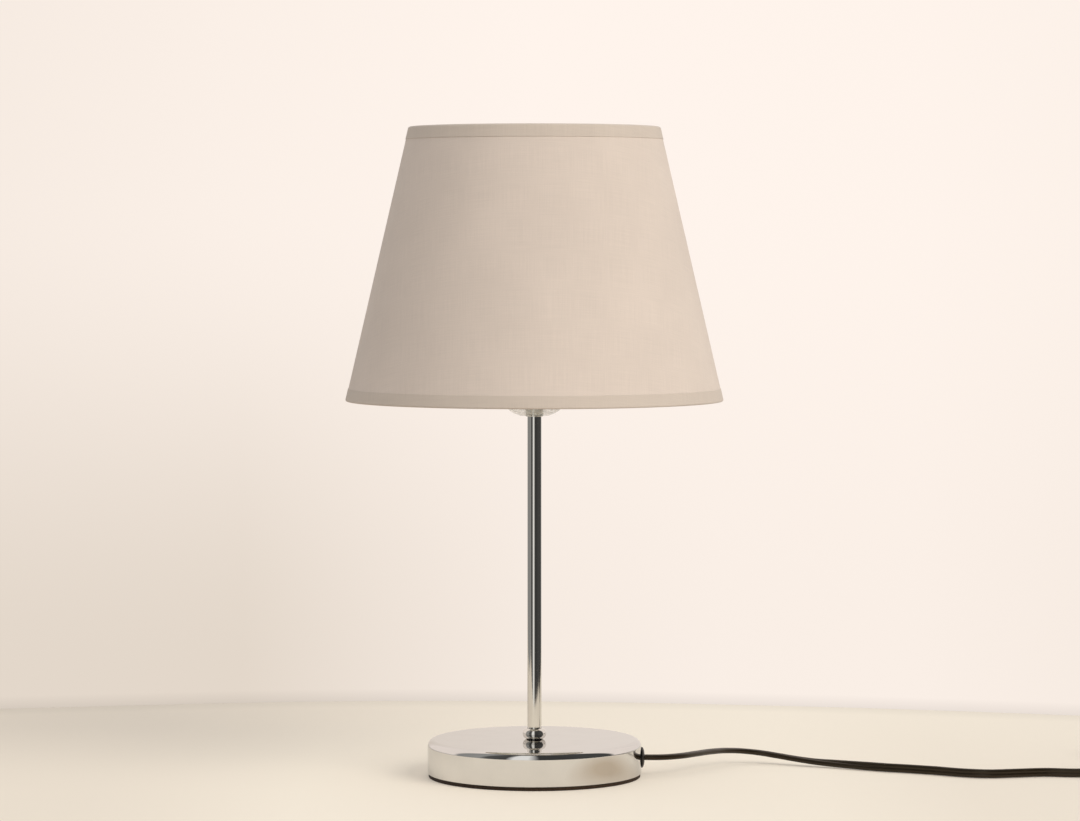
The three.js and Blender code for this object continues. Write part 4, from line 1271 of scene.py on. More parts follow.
    def clear_where(self, graph: Surface, gone: Socket, shader: Socket) -> None:
        """Shows a shader, but nothing of it in the metal past some place, and nothing from its far side.

        Args:
            graph: The material's nodes.
            gone: How far it has faded from what the metal mirrors, 0 to 1.
            shader: The shader.
        """
        glossy = graph.node("LightPath").outputs["Is Glossy Ray"]
        behind = graph.node("NewGeometry").outputs["Backfacing"]
        hidden = graph.largest(graph.calc("MULTIPLY", gone, glossy), behind)
        clear = graph.node("BsdfTransparent").outputs["BSDF"]
        graph.show(graph.node("MixShader", (0, hidden), (1, shader), (2, clear)).outputs["Shader"])

    def sheet(self, name: str, bm: BMesh, graph: Surface) -> Object:
        """Puts a sheet in the scene and marks it as not part of the lamp.

        Args:
            name: Its name.
            bm: Its shape, in metres.
            graph: The nodes of its material.

        Returns:
            The sheet.
        """
        obj = stand_in(bm, name)
        obj.data.materials.append(graph.owner)
        obj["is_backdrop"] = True
        return obj

    def table_tint_and_shade(self, graph: Surface) -> Socket:
        """Colours the table with painted shade: darker in places across the view, and a painted shadow where
        it meets the curved wall.

        Args:
            graph: The table's nodes.

        Returns:
            The colour.
        """
        depth = graph.parts(graph.place)[1]
        near, far = self.across(graph, self.table_near), self.across(graph, self.table_far)
        dim = graph.blend(graph.ranged(depth, in_metres(self.table_depths)), near, far)
        tint = graph.blend(dim, linear(self.table_light), linear(self.table_shaded))
        foot = self.across(graph, [(x, y * MM) for x, y in self.foot()])
        reach = (0.0, self.foot_shadow_reach * MM)
        shadow = graph.ranged(graph.calc("SUBTRACT", foot, depth), reach, (self.foot_shadow, 0.0))
        return graph.blend(shadow, tint, BLACK)

    def table_ends(self, graph: Surface) -> Socket:
        """Works out where the metal stops mirroring the table: an oval in front, and a line on the left.

        Args:
            graph: The table's nodes.

        Returns:
            How far the table has faded, 0 to 1.
        """
        x, y, _ = graph.parts(graph.place)
        ahead = graph.calc("DIVIDE", graph.calc("MINIMUM", y, 0.0), self.table_front * MM)
        right = graph.calc("DIVIDE", graph.calc("MAXIMUM", x, 0.0), self.table_right * MM)
        squares = (graph.calc("POWER", ahead, 2.0), graph.calc("POWER", right, 2.0))
        oval = graph.calc("SQRT", graph.calc("ADD", *squares))
        left = graph.calc("DIVIDE", x, -self.table_left * MM)
        return graph.ranged(graph.largest(oval, left), self.table_fade)

    def lay_floor(self) -> None:
        """Lays the table top. It takes the lamp's shadow, ends for mirrored rays, and is clear from below."""
        graph = Surface("table_top")
        ray = graph.node("LightPath")
        glossy = ray.outputs["Is Glossy Ray"]
        # Painted reflection: near that place the table is browner for mirrored rays only
        spot = graph.node("VectorMath", (0, graph.place), (1, in_metres(self.reflected_patch_place)))
        spot.operation = "DISTANCE"
        reflected_patch = graph.ranged(spot.outputs["Value"], in_metres(self.reflected_patch_reach), (self.reflected_patch_share, 0.0))
        tint = graph.blend(graph.calc("MULTIPLY", reflected_patch, glossy), self.table_tint_and_shade(graph), self.reflected_patch_colour)
        seen = graph.largest(ray.outputs["Is Camera Ray"], ray.outputs["Is Transmission Ray"], glossy)
        strength = graph.calc("MULTIPLY", seen, self.table_glow)
        glow = graph.node("Emission", ("Color", tint), ("Strength", strength)).outputs["Emission"]
        matt = graph.node("BsdfDiffuse", ("Color", graph.blend(self.table_absorbs, tint, BLACK)))
        both = graph.node("AddShader", (0, matt.outputs["BSDF"]), (1, glow)).outputs["Shader"]
        self.clear_where(graph, self.table_ends(graph), both)
        bm = bmesh.new()
        bmesh.ops.create_grid(bm, x_segments=1, y_segments=1, size=self.floor_reach * MM)
        moved(bm, shift(0, 0, -self.floor_drop * MM))
        self.sheet("table_top", bm, graph)

    def raise_wall(self) -> None:
        """Stands the wall behind the table. From its far side nothing of it shows."""
        graph = Surface("wall")
        x, _, z = graph.parts(graph.place)
        # Painted shade: the wall gets darker across the view, most low on the left
        low, high = self.across(graph, self.wall_low), self.across(graph, self.wall_high)
        dim = graph.blend(graph.ranged(z, in_metres(self.wall_levels), smooth=True), low, high)
        colour = graph.blend(dim, linear(self.wall_light), linear(self.wall_shaded))
        # Painted shade in the corner: the glow is dimmer at the wall's foot
        strength = graph.ranged(z, (0.0, self.corner_shade_height * MM), (self.seam, 1.0))
        glow = graph.node("Emission", ("Color", colour), ("Strength", strength)).outputs["Emission"]
        aside = graph.ranged(graph.calc("ABSOLUTE", x), in_metres(self.wall_reflection))
        self.clear_where(graph, aside, glow)
        bm = bmesh.new()
        foot = self.foot()
        chain(bm, [(-self.wall_reach, foot[0][1]), *foot, (self.wall_reach, foot[-1][1])], False, 1)
        risen = bmesh.ops.extrude_edge_only(bm, edges=bm.edges[:])["geom"]
        bmesh.ops.translate(bm, vec=(0, -self.wall_height, 0), verts=corners(risen))
        moved(bm, turn(-90, "X"), Matrix.Diagonal((MM, MM, MM, 1.0)))
        bm.normal_update()
        bm.faces.ensure_lookup_table()
        if bm.faces[0].normal.y > 0:
            bmesh.ops.reverse_faces(bm, faces=bm.faces[:])
        wall = self.sheet("wall", bm, graph)
        wall.visible_diffuse = False
        wall.visible_shadow = False


# Cord


@dataclass
class MainsCord:
    """The flat twin cord: into the switch, out of it, round a tied coil, and into the plug."""

    width: float = 5.0
    thickness: float = 3.0
    start: float = 60.0
    exit_point: Point = (62.0, 0.0, 10.5)
    switch_exit: Point = (397.0, -8.0, 6.4)
    lead: tuple[Point, ...] = (
        (62.0, 0, 10.5), (72, 0.4, 10.5), (82, 5.5, 10.5), (91, 16, 10.3), (99.5, 29, 9.7), (108.5, 41, 8.7),
        (118.5, 48.5, 7.5), (129.5, 50, 6.2), (140, 46.5, 4.9), (150, 41.5, 3.8), (160, 36.5, 3),
        (171, 31, 2.7), (184, 23.5, 2.6), (198, 15.5, 2.6), (212, 9.5, 2.6), (226, 2.5, 2.6),
        (240, -6, 2.6), (254, -10, 2.6), (270, -7, 2.6), (286, -4, 2.6), (304, -6.5, 2.6), (318, -8, 3.4),
        (329, -8, 6.4), (349, -8, 6.4),
    )
    link: tuple[Point, ...] = (
        (383, -8, 6.4), (403, -8, 6.4), (411, -8, 5.4), (419, -8, 4.05), (423.7, -8, 3.65), (428.7, -8, 3.65),
    )
    tail: tuple[Point, ...] = (
        (428.7, 71.65, 9.15), (423.7, 71.65, 9.15), (417.0, 71.65, 8.0), (410.3, 71.65, 6.85),
        (405.3, 71.65, 6.85), (399.0, 71.65, 6.85),
    )
    inside: tuple[Point, ...] = (
        (61.5, 0, 10.5), (50, 0, 10.5), (38, 0, 10.3), (31, 0, 9.1), (25, 0, 7.2), (19, 0, 5.7), (13, 0, 5.1),
        (8, 0, 5.1), (4.2, 0, 6.2), (1.5, 0, 8.7), (0.2, 0, 12), (0, 0, 16), (0, 0, 60), (0, 0, 130),
        (0, 0, 212.6),
    )
    coil_centre: tuple[float, float] = (434.0, 31.825)
    coil_inner: float = 19.2
    coil_pitch: float = 5.5
    coil_turns: float = 7.5
    coil_level: float = 3.65
    coil_rise: float = 5.5
    coil_climb: float = 0.5  # turns that it takes to climb to the upper layer
    steps_per_turn: int = 60
    flat_until: float = 142.0  # along X, where the cord starts to roll onto its edge
    on_edge_from: float = 214.0
    closest: float = 0.2  # points nearer than this to the one before are left out

    def wound(self) -> list[Vector]:
        """Works out the coil: inwards on the table, up at the middle, outwards again on top.

        Returns:
            Points along it.
        """
        points = []
        middle = self.coil_turns / 2
        for step in range(round(self.coil_turns * self.steps_per_turn) + 1):
            done = step / self.steps_per_turn
            climb = gentle((done - middle) / self.coil_climb + 0.5)
            radius = self.coil_inner + self.coil_pitch * abs(done - middle)
            angle = FULL_TURN * done - math.pi / 2
            x = self.coil_centre[0] + radius * math.cos(angle)
            y = self.coil_centre[1] + radius * math.sin(angle)
            points.append(Vector((x, y, self.coil_level + self.coil_rise * climb)))
        return points

    def draw(self, route: Sequence[Vector], name: str, nodes: Sequence[str]) -> Object:
        """Draws one length of the cord and settles it.

        Args:
            route: Points along its middle.
            name: The piece's name.
            nodes: The CAD solids it stands for.

        Returns:
            The piece.
        """
        span = self.on_edge_from - self.flat_until
        tilts = [gentle((point.x - self.flat_until) / span) * math.pi / 2 for point in route]
        bm = swept(route, Section.TWIN, self.width, self.thickness, tilts)
        return settle(bm, name, nodes, SHEATH, sharp=50)

    def build(self, on_lead: Sequence[Object], on_tail: Sequence[Object]) -> None:
        """Args:
            on_lead: The pieces of the switch; not used.
            on_tail: The pieces of the plug and the tie; not used.
        """
        first = [Vector((self.start, 0, self.exit_point[2])), *smooth_route(self.lead)]
        lead = self.draw(first, "lamp_to_switch_cord", ["cord_lead"])
        whole = [*smooth_route(self.link)[:-1], *self.wound()[1:-1], *smooth_route(self.tail)]
        pairs = zip(whole, [Vector(), *whole])
        second = [point for point, before in pairs if (point - before).length > self.closest]
        coil = self.draw(second, "switch_to_plug_cord", ["cord_link", "cord_coil", "cord_tail"])

    def build_inside(self) -> None:
        """Draws the hidden run through the base and up the stem."""
        bm = swept(smooth_route(self.inside), Section.TWIN, self.width, self.thickness, upright=False)
        settle(bm, "hidden_cord", ["inner_cord"], SHEATH, sharp=50)


# Base and stem


@dataclass
class Base:
    """The pressed cover with its rolled edge, the foam pad, and the screws that show through the pad."""

    cover: Extent = node("base_cover")
    pad: Extent = node("base_pad")
    bush: Extent = node("cord_bush")
    screw: Extent = node("plate_screw_2")
    wall: float = 1.2
    edge: float = 4.0
    stem_hole: float = 4.3
    pad_hole: float = 4.0
    bush_flange: float = 5.9
    bush_flange_thickness: float = 1.6
    bush_rim: float = 0.7  # how high the flange's side is
    bush_crown: float = 3.7  # radius of the flat middle of its face
    bush_barrel: float = 4.5
    bush_tail: float = 3.5  # radius at the inner end
    bush_collar: float = 8.0  # how far the barrel keeps its width
    cord_slot: tuple[float, float] = (5.5, 3.5)
    screw_head: float = 2.8
    screw_head_height: float = 1.6
    screw_shank: float = 1.4
    screw_turn: float = 31.0  # degrees from one screw's cross to the next

    def build(self) -> None:
        """Makes every piece of the base that shows."""
        self.press_cover()
        self.cut_pad()
        self.fit_screws()
        self.fit_bush()

    def press_cover(self) -> None:
        """Turns the cover."""
        radius, bottom, top = self.cover.lathe
        inner = radius - self.wall
        bm = turned([
            (self.stem_hole, top), (radius, top, self.edge), (radius, bottom, 0.35), (inner, bottom, 0.3),
            (inner, top - self.wall, self.edge - self.wall), (self.stem_hole, top - self.wall),
        ], 192, 10)
        settle(bm, "pressed_cover", ["base_cover"], CHROME, sharp=60)

    def cut_pad(self) -> None:
        """Cuts the foam pad, with its two holes over the screws."""
        disc = pipe(0, self.pad.radius, 0, self.pad.top, (0, 0.3, 0.2, 0), 128)
        reach = self.screw.centre.y
        holes = [moved(pipe(0, self.pad_hole, -1, 4, segments=40), shift(0, y, 0)) for y in (-reach, reach)]
        settle(carved(disc, *holes), "foam_pad", ["base_pad"], FOAM)

    def fit_screws(self) -> None:
        """Drives the two screws that hold the bottom plate."""
        for index, side in enumerate((-1, 1), 1):
            bm = cross_screw(self.screw_head, self.screw_head_height, self.screw_shank, self.screw.height)
            place = shift(0, side * self.screw.centre.y, self.screw.bottom)
            moved(bm, turn(self.screw_turn * index, "Z"), place)
            settle(bm, f"bottom_screw_{index}", [f"plate_screw_{index}"], ZINC)

    def fit_bush(self) -> None:
        """Presses the domed bush into the cover's side."""
        face, level, tail = self.bush.high.x, self.bush.centre.z, self.bush.low.x
        wall = face - self.bush_flange_thickness
        body = turned([
            (0, tail), (self.bush_tail, tail, 0.4), (self.bush_barrel, wall - self.bush_collar),
            (self.bush_barrel, wall), (self.bush_flange, wall, 0.2),
            (self.bush_flange * 0.97, wall + self.bush_rim, 0.5), (self.bush_crown, face, 1.2), (0, face),
        ], 48)
        moved(body, turn(90, "Y"), shift(0, 0, level))
        across, up = (size / 2 for size in self.cord_slot)
        slot = block((tail - 1, -across, level - up), (face + 1, across, level + up))
        settle(carved(body, slot), "domed_bush", ["cord_bush"], BLACK_PLASTIC)


@dataclass
class Stem:
    """The plated tube and the bead at its foot."""

    tube: Extent = node("stem_tube")
    collar: Extent = node("stem_collar")
    wall: float = 0.9
    bore: float = 4.15
    bead_flat: float = 0.02  # what is left upright at the middle of the bead, on either side of it

    def build(self) -> None:
        """Draws the tube and turns the bead."""
        bm = pipe(self.tube.radius - self.wall, *self.tube.lathe, (0, 0.25, 0.25, 0), 72)
        settle(bm, "drawn_tube", ["stem_tube"], TUBE_CHROME)
        bead = self.collar.height / 2 - self.bead_flat
        bm = pipe(self.bore, *self.collar.lathe, (0, bead, bead, 0), 96, 14)
        settle(bm, "foot_bead", ["stem_collar"], TUBE_CHROME, sharp=60)


# Lampholder and bulb


@dataclass
class Lampholder:
    """Adapter, milky cup with its locking screw, threaded skirt, and the screw shell inside it."""

    adapter: Extent = node("stem_adapter")
    cup: Extent = node("holder_cup")
    skirt: Extent = node("holder_skirt")
    shell: Extent = node("screw_shell")
    grub: Extent = node("holder_grub_screw")
    core: Extent = node("holder_core")
    adapter_bore: float = 4.15
    adapter_eye: float = 3.1  # the cord's hole through its closed end
    adapter_end: float = 1.4
    cup_wall: float = 1.6
    mouth: float = 8.4
    belly: tuple[float, float] = (17.5, 2.6)
    dome: float = 13.4
    dome_steps: int = 12
    bore: float = 5.2
    neck: float = 8.6
    ledge_width: float = 4.4  # what the core rests on
    neck_width: float = 6.0
    flange_thickness: float = 2.6
    flange_bottom: float = 229.1
    thread: float = 19.4
    thread_depth: float = 0.8
    thread_pitch: float = 2.5
    skirt_bore: float = 15.2
    skirt_mouth: float = 1.6  # how far its mouth widens
    spigot: tuple[float, float] = (16.7, 18.1)
    shell_wall: float = 0.6
    shell_turns: int = 5
    shell_groove: float = 0.35
    grub_hole: float = 1.8
    grub_radius: float = 1.5
    grub_socket: tuple[float, float] = (0.85, 1.4)  # radius and depth

    def build(self) -> None:
        """Makes every piece that shows."""
        self.turn_adapter()
        self.mould_cup()
        self.cut_grub_screw()
        self.mould_skirt()
        self.roll_shell()

    def turn_adapter(self) -> None:
        """Turns the bright sleeve that joins the cup to the stem."""
        radius, bottom, top = self.adapter.lathe
        end = top - self.adapter_end
        bm = turned([
            (self.adapter_bore, bottom), (radius, bottom, 0.3), (radius, top, 0.3), (self.adapter_eye, top),
            (self.adapter_eye, end), (self.adapter_bore, end),
        ], 72)
        settle(bm, "bright_sleeve", ["stem_adapter"], TUBE_CHROME)

    def mould_cup(self) -> None:
        """Moulds the rounded cup and bores its screw hole at the back."""
        radius, bottom, top = self.cup.lathe
        inner = radius - self.cup_wall
        start, pull, end = Vector((self.mouth, 0)), Vector(self.belly), Vector((radius, self.dome))
        dome = []
        for step in range(self.dome_steps + 1):
            t = step / self.dome_steps
            point = (1 - t) ** 2 * start + 2 * t * (1 - t) * pull + t * t * end
            dome.append((point.x, bottom + point.y))
        ledge, neck = self.core.bottom - 0.1, bottom + self.neck
        bm = turned([
            (self.bore, bottom, 0.4), *dome, (radius, top, 0.3), (inner, top), (inner, ledge),
            (inner - self.ledge_width, ledge), (inner - self.neck_width, neck), (self.bore, neck),
        ], 96)
        hole = pipe(0, self.grub_hole, 0, 20)
        moved(hole, turn(-90, "X"), shift(0, self.adapter.radius, self.grub.centre.z))
        settle(carved(bm, hole), "milky_cup", ["holder_cup"], MILKY)

    def cut_grub_screw(self) -> None:
        """Cuts the screw that locks the cup, with its six-sided socket."""
        length = self.grub.high.y - self.grub.low.y
        width, depth = self.grub_socket
        screw = pipe(0, self.grub_radius, 0, length, (0, 0.25, 0.25, 0))
        socket = pipe(0, width, length - depth, length + 1, segments=6)
        bm = moved(carved(screw, socket), turn(-90, "X"), shift(0, self.grub.low.y, self.grub.centre.z))
        settle(bm, "cup_lock_screw", ["holder_grub_screw"], ZINC)

    def mould_skirt(self) -> None:
        """Moulds the flange and the threaded sleeve above it."""
        radius, bottom, top = self.skirt.lathe
        low, high = self.flange_bottom, self.flange_bottom + self.flange_thickness
        core = self.thread - self.thread_depth
        inner, outer = self.spigot
        body = turned([
            (inner, bottom), (outer, bottom, 0.3), (outer, low), (radius, low, 0.5), (radius, high, 0.5),
            (core, high, 0.3), (core, top, 0.6), (self.skirt_bore + self.skirt_mouth, top, 0.3),
            (self.skirt_bore, top - self.skirt_mouth), (self.skirt_bore, low), (inner, low),
        ], 96)
        thread = ridged(core, self.thread, high + 0.4, top - 0.7, self.thread_pitch)
        settle(together(body, thread), "threaded_skirt", ["holder_skirt"], MILKY_THICK)

    def roll_shell(self) -> None:
        """Rolls the thin contact shell with its round thread."""
        outside, bottom, top = self.shell.lathe
        inner = outside - self.shell_wall
        pitch = (top - bottom - 2) / self.shell_turns
        outer_line, inner_line = [(outside, bottom)], [(inner + 0.25, bottom)]
        for index in range(self.shell_turns):
            start = bottom + 1 + index * pitch
            crest, root = start + 0.2 * pitch, start + 0.7 * pitch
            outer_line += [(outside, crest, 0.4), (outside - self.shell_groove, root, 0.4)]
            inner_line += [(inner + 0.3, crest, 0.4), (inner, root, 0.4)]
        outer_line.append((outside, top))
        inner_line.append((inner + 0.25, top))
        bm = turned([*outer_line, *reversed(inner_line)], 72, 3)
        settle(bm, "contact_shell", ["screw_shell"], NICKEL)


@dataclass
class Bulb:
    """Contact tip, black insulator, screw cap, white housing and frosted candle globe."""

    tip: Extent = node("bulb_tip")
    insulator: Extent = node("bulb_insulator")
    cap: Extent = node("bulb_cap")
    housing: Extent = node("bulb_body")
    globe: Extent = node("bulb_globe")
    glass: float = 1.0
    insulator_radii: Corner = (5.1, 7.6, 10.5)
    insulator_step: float = 1.6
    cap_mouth: float = 10.6
    cap_wall: float = 0.6
    thread_depth: float = 0.75
    thread_pitch: float = 3.6
    housing_radii: Corner = (12.3, 13.6, 14.2)  # its foot inside the cap, and the flare above it
    housing_flare: float = 6.0
    candle: tuple[tuple[float, float], ...] = (
        (0.87, 0), (0.975, 0.16), (1.0, 0.31), (0.93, 0.52), (0.72, 0.75), (0.42, 0.92), (0.17, 0.985),
    )

    def build(self) -> None:
        """Makes the five pieces."""
        self.mould_contacts()
        self.roll_cap()
        self.mould_housing()
        self.blow_globe()

    def mould_contacts(self) -> None:
        """Moulds the tip and the black cone round it."""
        radius, low, high = self.tip.lathe
        bm = turned([
            (0, low), (radius * 0.8, low, 0.5), (radius, low + 0.8, 0.4), (radius, high), (0, high),
        ], 48)
        settle(bm, "solder_tip", ["bulb_tip"], NICKEL, body=Body.BULB)
        _, low, high = self.insulator.lathe
        foot, shoulder, rim = self.insulator_radii
        step = low + self.insulator_step
        bm = turned([(0, low), (foot, low, 0.5), (shoulder, step, 1.0), (rim, high, 0.2), (0, high)], 64)
        settle(bm, "vitrite_cone", ["bulb_insulator"], BLACK_GLASS, body=Body.BULB)

    def roll_cap(self) -> None:
        """Rolls the screw cap, with its thread winding up it."""
        (crest, low, high), mouth = self.cap.lathe, self.cap_mouth
        core = crest - self.thread_depth
        inner = core - self.cap_wall
        body = turned([
            (mouth, low, 0.3), (core, low + 2.6, 0.6), (core, high - 1.4, 0.3), (crest, high - 0.7, 0.3),
            (crest, high), (inner, high), (inner, low + 3.0), (mouth, low + 0.9),
        ], 72)
        thread = ridged(core, crest, low + 2.4, high - 1.6, self.thread_pitch)
        settle(together(body, thread), "screw_cap", ["bulb_cap"], NICKEL, body=Body.BULB)

    def mould_housing(self) -> None:
        """Moulds the white housing between cap and globe."""
        (radius, low, high), join = self.housing.lathe, self.cap.top + 0.1
        foot, step, flare = self.housing_radii
        bm = turned([
            (0, low), (foot, low), (foot, join), (step, join, 0.5), (flare, join + self.housing_flare, 3.0),
            (radius, high, 0.5), (0, high),
        ], 72)
        settle(bm, "bulb_housing", ["bulb_body"], WHITE_PLASTIC, body=Body.BULB)

    def blow_globe(self) -> None:
        """Blows the frosted globe, a thin wall all round."""
        radius, height, low = self.globe.radius, self.globe.height, self.globe.bottom
        points = [(r * radius, 0.0, low + h * height) for r, h in self.candle]
        line = [(p.x, p.z) for p in smooth_route([*points, (0.0, 0.0, low + height)], 6)]
        outside = [(max(r, 0.0), min(z, low + height)) for r, z in line]
        outside[-1] = (0.0, low + height)
        span = (height - self.glass) / height
        inside = [(max(r - self.glass, 0.0), low + (z - low) * span) for r, z in outside]
        while len(inside) > 2 and inside[-2][0] == 0.0:
            inside.pop(-2)
        bm = turned([*reversed(inside), *outside], 72)
        settle(bm, "frosted_globe", ["bulb_globe"], FROSTED, body=Body.BULB, sharp=60)


# Shade


@dataclass
class Shade:
    """Stiffened cloth panel with folded hems, on a wire frame that hangs on the lampholder."""

    bottom_hem: Extent = node("bottom_hem")
    top_hem: Extent = node("top_hem")
    panel: Extent = node("shade_panel")
    bottom_ring: Extent = node("bottom_ring")
    top_ring: Extent = node("top_ring")
    fitter: Extent = node("fitter_ring")
    lock: Extent = node("shade_lock_ring")
    low: float = field(init=False)
    high: float = field(init=False)
    taper: float = field(init=False)  # how much the radius shrinks for each millimetre up
    round_steps: int = 144
    panel_wall: float = 1.0
    panel_rows: int = 14
    panel_gap: float = 0.05  # between panel and hems
    hem_thickness: float = 0.2
    hem_height: float = 7.0
    hem_inner_height: float = 3.4
    wire: float = 1.6
    arm: float = 1.5
    arm_start: float = 9.7  # how far an arm goes level from the fitter ring
    arm_drop: float = 0.75  # where it bends down, and where it bends level again
    weld: float = 1.9
    weld_shape: Point = (1.2, 1.0, 0.8)
    fitter_bore: float = 20.0
    lock_bore: float = 19.7
    seam_width: float = 12.0
    seam_thickness: float = 0.32
    grips: int = 40
    grip: float = 0.7

    def __post_init__(self) -> None:
        """Works out the taper from the two hems."""
        self.low, self.high = self.bottom_hem.bottom, self.top_hem.top
        self.taper = (self.bottom_hem.radius - self.top_hem.radius) / (self.top_hem.bottom - self.low)

    def outside(self, level: float) -> float:
        """The hems' outside radius at a level."""
        return self.bottom_hem.radius - self.taper * (level - self.low)

    def build(self) -> None:
        """Makes the whole shade and its lock ring."""
        self.stretch_panel()
        self.fold_hem("bottom", self.low, 1)
        self.fold_hem("top", self.high, -1)
        self.bend_rings()
        self.bend_arms()
        self.stamp_fitter()
        self.mould_lock_ring()

    def chart(self, bm: BMesh) -> None:
        """Gives cloth its flat pattern: the cone unrolled, in metres, with the join at the back.

        Args:
            bm: The cloth, in millimetres.
        """
        uv = bm.loops.layers.uv.new("cloth")
        slant = math.hypot(1.0, self.taper)
        unroll = self.taper / slant
        apex = self.low + self.bottom_hem.radius / self.taper
        for face in bm.faces:
            middle = face.calc_center_median()
            home = math.atan2(middle.x, -middle.y)
            for loop in face.loops:
                place = loop.vert.co
                bearing = math.atan2(place.x, -place.y)
                if bearing - home > math.pi:
                    bearing -= FULL_TURN
                elif home - bearing > math.pi:
                    bearing += FULL_TURN
                inset = self.outside(place.z) - math.hypot(place.x, place.y)
                reach = ((apex - place.z) * slant + inset) * MM
                angle = bearing * unroll
                loop[uv].uv = (reach * math.sin(angle), -reach * math.cos(angle))

    def stretch_panel(self) -> None:
        """Wraps the panel: cloth outside, white lining inside, lapped at the back."""
        low, high, rows = self.panel.bottom, self.panel.top, self.panel_rows
        skin = self.hem_thickness + self.panel_gap
        levels = [low + (high - low) * row / rows for row in range(rows + 1)]
        outer = [(self.outside(level) - skin, level) for level in levels]
        inner = [(radius - self.panel_wall, level) for radius, level in reversed(outer)]
        whole = together(turned([*outer, *inner], self.round_steps), self.lap(skin))
        self.chart(whole)

        def side(middle: Vector, normal: Vector) -> int:
            """Cloth on the outside, lining on the inside."""
            return 1 if normal.x * middle.x + normal.y * middle.y < 0 else 0

        settle(whole, "cloth_panel", ["shade_panel"], CLOTH, LINING, body=Body.SHADE, choose=side)

    def lap(self, skin: float) -> BMesh:
        """Laps the panel's seam at the back, from hem to hem.

        Args:
            skin: How far the panel lies inside the hems.

        Returns:
            The lap.
        """
        low, high = self.low + self.hem_height, self.high - self.hem_height
        ends = [(self.outside(level) - skin, level) for level in (low, high)]
        inner = [(radius - 0.1, level) for radius, level in ends]
        outer = [(radius + self.seam_thickness, level) for radius, level in ends]
        bm = bmesh.new()
        chain(bm, [inner[0], *outer, inner[1]], True, 1)
        moved(bm, turn(90, "Z"))
        return spun(bm, 8, self.seam_width / self.outside((low + high) / 2))

    def fold_hem(self, name: str, edge: float, inward: int) -> None:
        """Folds a hem round its wire.

        Args:
            name: Which hem, bottom or top.
            edge: The level of the fold.
            inward: 1 where the hem goes up from the fold, -1 where it goes down.
        """
        wire = self.bottom_ring if inward > 0 else self.top_ring
        thick = self.hem_thickness
        inner = wire.radius - 2 * self.wire - 0.1 - thick
        end, inner_end = edge + inward * self.hem_height, edge + inward * self.hem_inner_height
        folded = edge + inward * thick
        bm = turned([
            (self.outside(edge), edge, 1.0), (self.outside(end), end, 0.12), (self.outside(end) - thick, end),
            (self.outside(folded) - thick, folded, 0.7), (inner + thick, folded, 0.7),
            (inner + thick, inner_end), (inner, inner_end, 0.12), (inner, edge, 1.1),
        ], self.round_steps, 5)
        self.chart(bm)
        settle(bm, f"folded_{name}_hem", [f"{name}_hem"], HEM_CLOTH, body=Body.SHADE)

    def bend_rings(self) -> None:
        """Bends the bottom and the top ring."""
        for name, ring in (("bottom", self.bottom_ring), ("top", self.top_ring)):
            bm = bmesh.new()
            place = shift(ring.radius - self.wire, 0, ring.centre.z) @ turn(90, "X")
            bmesh.ops.create_circle(bm, segments=14, radius=self.wire, matrix=place)
            bm = spun(bm, self.round_steps)
            settle(bm, f"{name}_wire", [f"{name}_ring"], WIRE_PAINT, body=Body.SHADE, sharp=70)

    def bend_arms(self) -> None:
        """Bends the three arms, each welded to the bottom ring."""
        start, level = self.fitter.radius - 0.6, self.fitter.top - self.arm
        first = start + self.arm_start
        centre = self.bottom_ring.radius - self.wire
        rest = self.bottom_ring.centre.z + self.wire + self.arm
        points = [
            (start, 0, level), (first, 0, level), (first + 5, 0, level - self.arm_drop),
            (centre - 13, 0, rest + self.arm_drop), (centre - 8, 0, rest), (centre + 0.6, 0, rest),
        ]
        for index in range(3):
            bm = swept(smooth_route(points, 8), Section.ROUND, 2 * self.arm, 2 * self.arm)
            weld = bmesh.new()
            bmesh.ops.create_uvsphere(weld, u_segments=16, v_segments=10, radius=self.weld)
            moved(weld, Matrix.Diagonal((*self.weld_shape, 1.0)), shift(centre, 0, rest - self.arm + 0.2))
            bm = moved(together(bm, weld), turn(90 + 120 * index, "Z"))
            name, replaced = f"spider_arm_{index + 1}", f"shade_arm_{index + 1}"
            settle(bm, name, [replaced], WIRE_PAINT, body=Body.SHADE, sharp=60)

    def stamp_fitter(self) -> None:
        """Stamps the ring that rests on the lampholder."""
        bm = pipe(self.fitter_bore, *self.fitter.lathe, (0.4, 0.4, 0.5, 0.5), 96)
        settle(bm, "stamped_fitter", ["fitter_ring"], WIRE_PAINT, body=Body.SHADE)

    def mould_lock_ring(self) -> None:
        """Moulds the ring that screws down on the fitter, with grips round it."""
        outside, bottom, top = self.lock.lathe
        body = pipe(self.lock_bore, outside - 0.6, bottom, top, (0.4, 0.5, 0.9, 0.6), 120)
        ribs = bmesh.new()
        for index in range(self.grips):
            place = turn(360 * index / self.grips, "Z") @ shift(outside - self.grip, 0, (bottom + top) / 2)
            bmesh.ops.create_cone(
                ribs, cap_ends=True, segments=10, radius1=self.grip, radius2=self.grip,
                depth=top - bottom - 2 * self.grip, matrix=place,
            )
        settle(together(body, ribs), "grip_ring", ["shade_lock_ring"], MILKY_THICK, body=Body.LOCK_RING)


# Switch and plug on the cord


